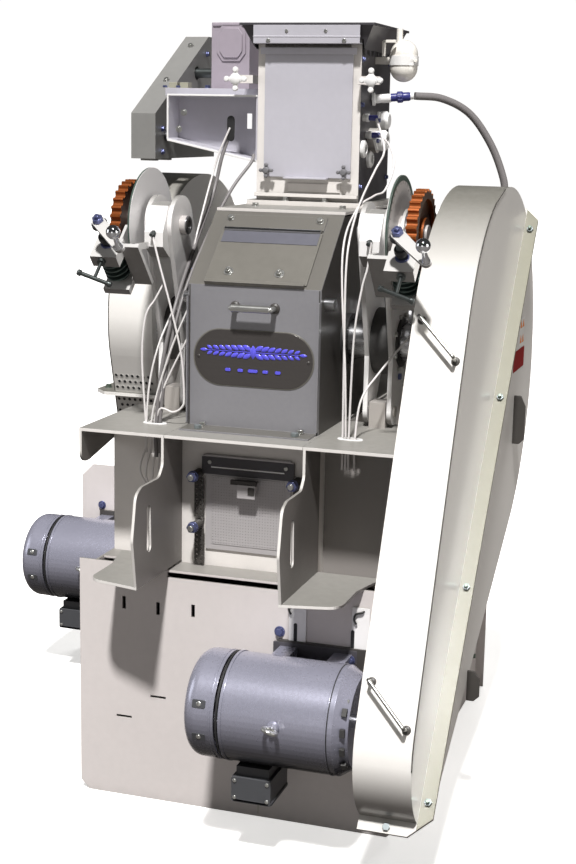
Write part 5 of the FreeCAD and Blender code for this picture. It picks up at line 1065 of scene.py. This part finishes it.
def motor_details(word, y, shift, side):
    """Eye bolt, seams, bell screws, cover screws and vents of one motor, whose face is at x = 387 + shift."""
    face, back = 387 + shift, 71 + shift
    z = 377
    slot_name = "motor_frames"
    parts = Build()
    parts.ring([(133.8, 0), (136, 0), (136, 7), (133.8, 7)], spot((back - 1, y, z), (1, 0, 0)), 72)
    parts.ring([(133.8, 0), (135.4, 0), (135.4, 4), (133.8, 4)], spot((face - 52, y, z), (1, 0, 0)), 72)
    parts.ring([(133.6, 0), (135.2, 0), (135.2, 4), (133.6, 4)], spot((back - 26, y, z), (1, 0, 0)), 72)
    parts.piece(f"{word}_motor_seams", "motor", bevel=0.4, slot=slot_name)
    groove = Build()
    groove.ring([(133.5, 0), (134.6, 0), (134.6, 5), (133.5, 5)], spot((back - 9, y, z), (1, 0, 0)), 72)
    groove.ring([(133.4, 0), (134.4, 0), (134.4, 2.5), (133.4, 2.5)], spot((face - 48, y, z), (1, 0, 0)), 72)
    groove.piece(f"{word}_motor_grooves", "rubber", slot=slot_name)
    boss = Build()
    direction = Vector((0, -0.998, 0.07)).normalized()
    root = Vector((back + 138, y, z)) + 131 * direction
    boss.lathe([(0, 0), (17, 0), (15, 9), (9, 12), (0, 12)], spot(root, direction), 28)
    boss.piece(f"{word}_motor_eye_boss", "motor", bevel=0.6, slot=slot_name)
    eye = Build()
    eye.torus(17, 5.2, spot(root + 27 * direction, (0.35, 0.25, 1), (1, 0, 0)), 36)
    eye.lathe([(0, 0), (6, 0), (6, 12), (0, 12)], spot(root + 8 * direction, direction), 16)
    eye.piece(f"{word}_motor_eye_bolt", "zinc", slot=slot_name)
    screws = Build()
    for k in range(4):
        angle = math.pi / 4 + math.pi / 2 * k
        dy, dz = math.cos(angle), math.sin(angle)
        screws.hexagon(13, 8, spot((face - 14, y + 112 * dy, z + 112 * dz), (1, 0, 0)))
        screws.hexagon(12, 6, spot((back - 92, y + 60 * dy, z + 60 * dz), (-1, 0, 0)))
    for dy, dz in ((-0.95, 0.31), (-0.95, -0.31)):
        screws.lathe([(0, 0), (6.5, 0), (6.5, 3), (4, 4.2), (0, 4.2)],
                     spot((back - 52, y + 133 * dy, z + 133 * dz), (0, dy, dz)), 18)
    screws.piece(f"{word}_motor_screws", "zinc", bevel=0.4, slot="fasteners")
    pads = Build()
    for dy, dz in ((-0.95, 0.31), (-0.95, -0.31)):
        pads.prism(rounded(34, 20, 4), 3, spot((back - 52, y + 132.4 * dy, z + 132.4 * dz), (0, dy, dz), (1, 0, 0)))
    pads.piece(f"{word}_fan_cap_pads", "box", bevel=0.8, slot="motor_fan_covers")
    grille = Build()
    grille.ring([(30, 0), (100, 0), (100, 2), (30, 2)], spot((back - 66, y, z), (-1, 0, 0)), 64)
    for k in range(5):
        grille.torus(38 + 13 * k, 2.2, spot((back - 78, y, z), (-1, 0, 0)), 48)
    for k in range(8):
        angle = math.pi / 4 * k
        grille.block(66, 4, 3, spot((back - 76, y + 66 * math.cos(angle), z + 66 * math.sin(angle)), (-1, 0, 0),
                                    (0, math.cos(angle), math.sin(angle))))
    grille.lathe([(0, 0), (32, 0), (30, 6), (0, 8)], spot((back - 74, y, z), (-1, 0, 0)), 36)
    grille.piece(f"{word}_fan_grille", "box", bevel=0.4, slot="motor_fan_covers")
    lid = Build()
    box_x = back + 63
    lid.prism(rounded(106, 138, 8), 7, spot((box_x, y, 162), (0, 0, -1), (1, 0, 0)))
    lid.prism(rounded(102, 66, 6), 3, spot((box_x, y - 66, 187), (0, -1, 0), (1, 0, 0)))
    lid.prism(rounded(88, 124, 6), 5, spot((box_x, y, 219), (0, 0, -1), (1, 0, 0)))
    lid.piece(f"{word}_terminal_box_lid", "box", bevel=1.0, slot="motor_conduit_boxes")
    lugs = Build()
    for dx in (-42, 42):
        lugs.lathe([(0, 0), (5, 0), (5, 2.5), (3, 3.6), (0, 3.6)], spot((box_x + dx, y - 69, 210), (0, -1, 0)), 16)
        lugs.lathe([(0, 0), (5, 0), (5, 2.5), (3, 3.6), (0, 3.6)], spot((box_x + dx, y - 69, 166), (0, -1, 0)), 16)
    lugs.piece(f"{word}_terminal_box_screws", "zinc", bevel=0.3, slot="fasteners")
    clips = Build()
    for angle in (150, 172, 194, 216):
        a = math.radians(angle)
        dy, dz = math.cos(a), math.sin(a)
        clips.block(12, 20, 9, spot((face - 10, y + 121 * dy, z + 121 * dz), (0, dy, dz), (1, 0, 0)))
    clips.piece(f"{word}_motor_clips", "iron", bevel=0.8, slot=slot_name)


# Gap adjusters ---------------------------------------------------------------------------------------

TILT = math.radians(42.2)


def worm_space(side):
    """Frame at the worm's centre, z along the worm towards the crank."""
    return Matrix.Translation((side * 390, -454, 1415)) @ Matrix.Rotation(TILT, 4, "X")


def helix(build, place, core, outer, pitch, z0, z1, steps=26):
    """Screw thread of trapezoid section wound on a core."""
    turns = (z1 - z0) / pitch
    count = int(turns * steps)
    rings = []
    for k in range(count + 1):
        angle = 2 * math.pi * k / steps
        z = z0 + pitch * k / steps
        fade = min(1.0, k / steps * 3, (count - k) / steps * 3)
        reach = core + (outer - core) * fade
        section = [(core - 1.5, -0.32), (reach, -0.14), (reach, 0.14), (core - 1.5, 0.32)]
        rings.append([build.bm.verts.new(place @ Vector((r * math.cos(angle), r * math.sin(angle), z + pitch * h)))
                      for r, h in section])
    for a, b in zip(rings, rings[1:]):
        for k in range(4):
            n = (k + 1) % 4
            build.bm.faces.new((a[k], a[n], b[n], b[k]))
    build.bm.faces.new(rings[0][::-1])
    build.bm.faces.new(rings[-1])


def crank(word, side):
    """Hand crank on its worm: threaded worm and screw, tapered arm, plated ball and blue hub nut."""
    body, slot_name = f"{word}_crank_body", f"{word}_crank"
    base = worm_space(side)
    worm = Build()
    worm.lathe([(0, -36), (23, -36), (25, -34), (25, 34), (23, 36), (0, 36)], base, 40)
    helix(worm, base, 25, 35.5, 15.5, -33, 33)
    worm_piece = worm.piece(f"{word}_worm", "worm", body, 0.4, slot=slot_name)
    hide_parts(slot_name)
    screw = Build()
    screw.lathe([(0, -62), (9.9, -62), (9.9, 146), (8.5, 150), (0, 150)], base, 28)
    for k in range(15):
        screw.torus(9.6, 0.9, base @ Matrix.Translation((0, 0, 88 + 3.6 * k)), 28)
    screw.piece(f"{word}_worm_screw", "rod", body, slot=slot_name)
    collar = Build()
    collar.lathe([(0, 146), (20, 146), (21, 148), (21, 156), (17, 160), (0, 160)], base, 36)
    collar.lathe([(0, 96), (16, 96), (17, 98), (17, 110), (16, 112), (0, 112)], base, 32)
    collar.piece(f"{word}_crank_collar", "rubber", body, 0.6, slot=slot_name)
    nut = Build()
    nut.hexagon(26, 11, base @ Matrix.Translation((0, 0, 164)))
    nut.lathe([(0, 0), (7, 0), (7, 7), (5.5, 8.5), (0, 8.5)], base @ Matrix.Translation((0, 0, 175)), 20)
    nut.piece(f"{word}_crank_nut", "blue", body, 0.6, slot=slot_name)
    diagonal = base @ Matrix.Rotation(-math.pi / 4, 4, "Z") @ Matrix.Translation((0, 0, 154))
    arm = Build()
    hub_r, tip_r, length = 17, 13, 122
    lean = math.asin((hub_r - tip_r) / length)
    outline = [(hub_r * math.cos(a), hub_r * math.sin(a))
               for a in (math.pi / 2 - lean + (math.pi + 2 * lean) * k / 14 for k in range(15))]
    outline += [(length + tip_r * math.cos(a), tip_r * math.sin(a))
                for a in (-math.pi / 2 - lean + 0.0 + (math.pi + 2 * lean) * k / 12 for k in range(13))]
    arm.prism(outline, 10, diagonal)
    arm.piece(f"{word}_crank_arm", "arm", body, 1.6, slot=slot_name)
    ball = Build()
    tip = diagonal @ Matrix.Translation((length, 0, 10))
    ball.lathe([(0, 0), (11, 0), (10.5, 4), (7.5, 16), (6.5, 30), (7.2, 38)]
               + [(18 * math.sin(math.pi * (0.13 + 0.87 * k / 16)), 52 - 18 * math.cos(math.pi * (0.13 + 0.87 * k / 16)))
                  for k in range(16)] + [(0, 70)], tip, 40)
    ball.piece(f"{word}_crank_ball", "chrome", body, slot=slot_name)


def adjuster_details(word, side):
    base = worm_space(side)
    tees = Build()
    ends = ((-1, 0), (1, 0))
    reach = base @ Matrix.Translation((side * 5, -108, 66))
    lean = Matrix.Rotation(math.radians(90 + 28), 4, "Y")
    for sign, _ in ends:
        tees.lathe([(0, 0), (7.6, 0), (8.2, 3), (8.2, 9), (5, 12), (0, 12)],
                   reach @ lean @ Matrix.Translation((0, 0, sign * 35)) @ Matrix.Rotation(
                       0 if sign > 0 else math.pi, 4, "X"), 18)
    tees.piece(f"{word}_lock_ends", "rod", f"{word}_lock_handle_body", 0.4, slot=f"{word}_lock_handle")
    washers = Build()
    washers.ring([(11, 0), (18, 0), (18, 3.5), (11, 3.5)], base @ Matrix.Translation((0, 0, 80.2)), 32)
    washers.hexagon(30, 9, base @ Matrix.Translation((0, 0, -71)))
    washers.piece(f"{word}_worm_nuts", "blue", f"{word}_crank_body", 0.5, slot="worm_brackets")
    pointer = Build()
    pointer.prism([(-11, 0), (11, 0), (2, 34), (-2, 34)][::1], 3, base @ Matrix.Translation((-side * 37, 8, 62))
                  @ Matrix.Rotation(math.pi / 2, 4, "X") @ Matrix.Rotation(side * math.pi / 2, 4, "Z"))
    pointer.piece(f"{word}_dial_pointer", "knob", "roll_carriage", 0.4, slot="worm_brackets")
    ticks = Build()
    for k in range(36):
        a = 2 * math.pi * k / 36
        long_tick = k % 6 == 0
        r0 = 121 if long_tick else 125
        place = spot((side * 344, -340 + (r0 + 132) / 2 * math.cos(a), 1519 + (r0 + 132) / 2 * math.sin(a)),
                     (side, 0, 0), (0, math.cos(a), math.sin(a)))
        ticks.block(132 - r0, 1.6 if long_tick else 1.0, 0.5, place)
    ticks.piece(f"{word}_dial_ticks", "dark", f"{word}_gap_body", slot=f"{word}_gap_dial")
    stub_ring = Build()
    stub_ring.ring([(14, 0), (24.6, 0), (24.6, 2.4), (22, 4), (14, 4)], spot((side * 235.4, -340, 1519), (-side, 0, 0)), 40)
    stub_ring.piece(f"{word}_stub_ring", "steel", f"{word}_gap_body", 0.4, slot=f"{word}_gap_dial")
    # Painted shade: a thin dark disc fills the stub ring's bore.
    bore_shade = Build()
    bore_shade.lathe([(0, 0), (14.2, 0), (14.2, 1.4), (0, 1.4)], spot((side * 235.2, -340, 1519), (-side, 0, 0)), 32)
    bore_shade.piece(f"{word}_stub_bore_shade", "dark", f"{word}_gap_body", 0.2, slot=f"{word}_gap_dial")
    hub_bolts = Build()
    for angle in (2.2, 4.3, 6.4):
        bolt(hub_bolts, (side * 366, -340 + 46 * math.cos(angle), 1519 + 46 * math.sin(angle)),
             (0, math.cos(angle), math.sin(angle)), 12, 8)
    hub_bolts.piece(f"{word}_hub_bolts", "blue", f"{word}_gap_body", 0.4, slot=f"{word}_gap_dial")
    arm_bolts = Build()
    for y, z in ((-262, 1400), (-300, 1330), (-250, 1140)):
        arm_bolts.hexagon(16, 8, spot((side * 251, y, z), (-side, 0, 0)))
        arm_bolts.hexagon(16, 8, spot((side * 327, y, z), (side, 0, 0)))
    arm_bolts.piece(f"{word}_arm_bolts", "blue", "roll_carriage", 0.5, slot="swing_arms")
    housing = Build()
    for k in range(8):
        a = math.pi / 4 * k + math.pi / 8
        for x, out in ((251, -1), (327, 1)):
            housing.hexagon(12, 6, spot((side * x, -229.5 + 74 * math.cos(a), 1229 + 74 * math.sin(a)),
                                        (out * side, 0, 0)))
    housing.piece(f"{word}_bearing_cap_bolts", "zinc", "roll_carriage", 0.4, slot="front_bearing_housings")
    caps = Build()
    for x, out in ((251, -1), (327, 1)):
        caps.ring([(51, 0), (66, 0), (66, 5), (60, 8), (51, 8)], spot((side * x, -229.5, 1229), (out * side, 0, 0)), 48)
    caps.piece(f"{word}_bearing_caps", "iron", "roll_carriage", 0.6, slot="front_bearing_housings")


nameplate()
housing_details()
feeder_details()
channel_details()
cables()
grease_lines()
bay_details()
base_details()
guard_details()
motor_details("front", -760, 0, 1)
motor_details("rear", 270, -979, -1)
for side_word, side_sign in (("left", -1), ("right", 1)):
    crank(side_word, side_sign)
    adjuster_details(side_word, side_sign)


# Floor, light and camera -----------------------------------------------------------------------------

def make_floor():
    """Wide pale floor, seen nearly white by the camera and darker by the light that bounces off it."""
    build = Build()
    corners = [(-1, -1), (1, -1), (1, 1), (-1, 1)]
    build.faces([(30000 * x, 30000 * y, 0) for x, y in corners], [(0, 1, 2, 3)], Matrix())
    build.bm.transform(Matrix.Scale(MM, 4))
    mesh = bpy.data.meshes.new("studio_floor")
    build.bm.to_mesh(mesh)
    build.bm.free()
    shader = Shader("studio_floor")
    seen = shader.node("ShaderNodeLightPath").outputs["Is Camera Ray"]
    mottled = shader.mix(shader.spread(shader.noise(1.5, 4), 0.35, 0.65, 0.0, 1.0), srgb(240, 239, 237),
                         srgb(248, 247, 245))
    shader.link(shader.mix(seen, srgb(92, 88, 85), mottled), shader.base.inputs["Base Color"])
    shader.base.inputs["Roughness"].default_value = 0.6
    shader.link(mottled, shader.base.inputs["Emission Color"])
    shader.link(shader.math("MULTIPLY", seen, 0.62), shader.base.inputs["Emission Strength"])
    relief = shader.node("ShaderNodeBump", Strength=0.05, Distance=0.001)
    shader.link(shader.noise(60, 3), relief.inputs["Height"])
    shader.link(relief.outputs[0], shader.base.inputs["Normal"])
    mesh.materials.append(shader.material)
    floor = bpy.data.objects.new("studio_floor", mesh)
    bpy.context.scene.collection.objects.link(floor)


def lamp(name, place, target, size, power, colour=(1.0, 1.0, 1.0), glossy=True):
    data = bpy.data.lights.new(name, "AREA")
    data.shape = "RECTANGLE"
    data.size, data.size_y = size
    data.energy = power
    data.color = colour
    obj = bpy.data.objects.new(name, data)
    obj.location = place
    obj.visible_glossy = glossy
    obj.rotation_euler = (Vector(target) - Vector(place)).to_track_quat("-Z", "Y").to_euler()
    bpy.context.scene.collection.objects.link(obj)


def studio():
    make_floor()
    sun = bpy.data.lights.new("key", "SUN")
    sun.energy = 5.0
    sun.angle = math.radians(4.0)
    sun.color = (1.0, 0.99, 0.985)
    key = bpy.data.objects.new("key", sun)
    key.rotation_euler = Vector((-0.185, 1.0, -1.65)).to_track_quat("-Z", "Y").to_euler()
    bpy.context.scene.collection.objects.link(key)
    lamp("front", (0.2, -7.2, 1.5), (0, -0.4, 1.1), (2.6, 2.2), 20, (1.0, 0.98, 0.95))
    lamp("left_fill", (-5.2, -2.2, 2.4), (0, 0, 1.0), (2.4, 3.0), 45, (0.95, 0.97, 1.0))
    lamp("right_fill", (5.8, -1.5, 2.2), (0, 0.2, 1.1), (2.4, 3.0), 90, (1.0, 0.98, 0.95))
    lamp("back", (0.5, 5.0, 3.4), (0, 0.2, 1.0), (3.0, 2.5), 170, glossy=False)
    world = bpy.data.worlds.new("studio")
    world.use_nodes = True
    nodes, links = world.node_tree.nodes, world.node_tree.links
    seen = nodes.new("ShaderNodeLightPath").outputs["Is Camera Ray"]
    level = nodes.new("ShaderNodeMapRange")
    level.inputs["To Min"].default_value = 0.05
    level.inputs["To Max"].default_value = 1.15
    links.new(seen, level.inputs["Value"])
    links.new(level.outputs["Result"], nodes["Background"].inputs["Strength"])
    nodes["Background"].inputs["Color"].default_value = (0.9, 0.89, 0.88, 1)
    bpy.context.scene.world = world
    view = bpy.context.scene.view_settings
    view.view_transform = "Standard"
    view.look = "None"
    view.exposure = 0.0


def camera():
    """Camera at the eye point, with its right, down and forward directions in the rows below."""
    data = bpy.data.cameras.new("camera")
    data.sensor_fit = "AUTO"
    data.sensor_width = 36
    data.lens = 63.8333
    data.clip_end = 60
    obj = bpy.data.objects.new("camera", data)
    right = Vector((0.95001, 0.31162, 0.01940))
    down = Vector((0.07983, -0.18237, -0.97999))
    forward = Vector((-0.30185, 0.93254, -0.19812))
    turn = Matrix((right, -down, -forward)).transposed().to_4x4()
    obj.matrix_world = Matrix.Translation((1.27979, -4.12871, 1.78997)) @ turn
    bpy.context.scene.collection.objects.link(obj)
    bpy.context.scene.camera = obj


studio()
camera()
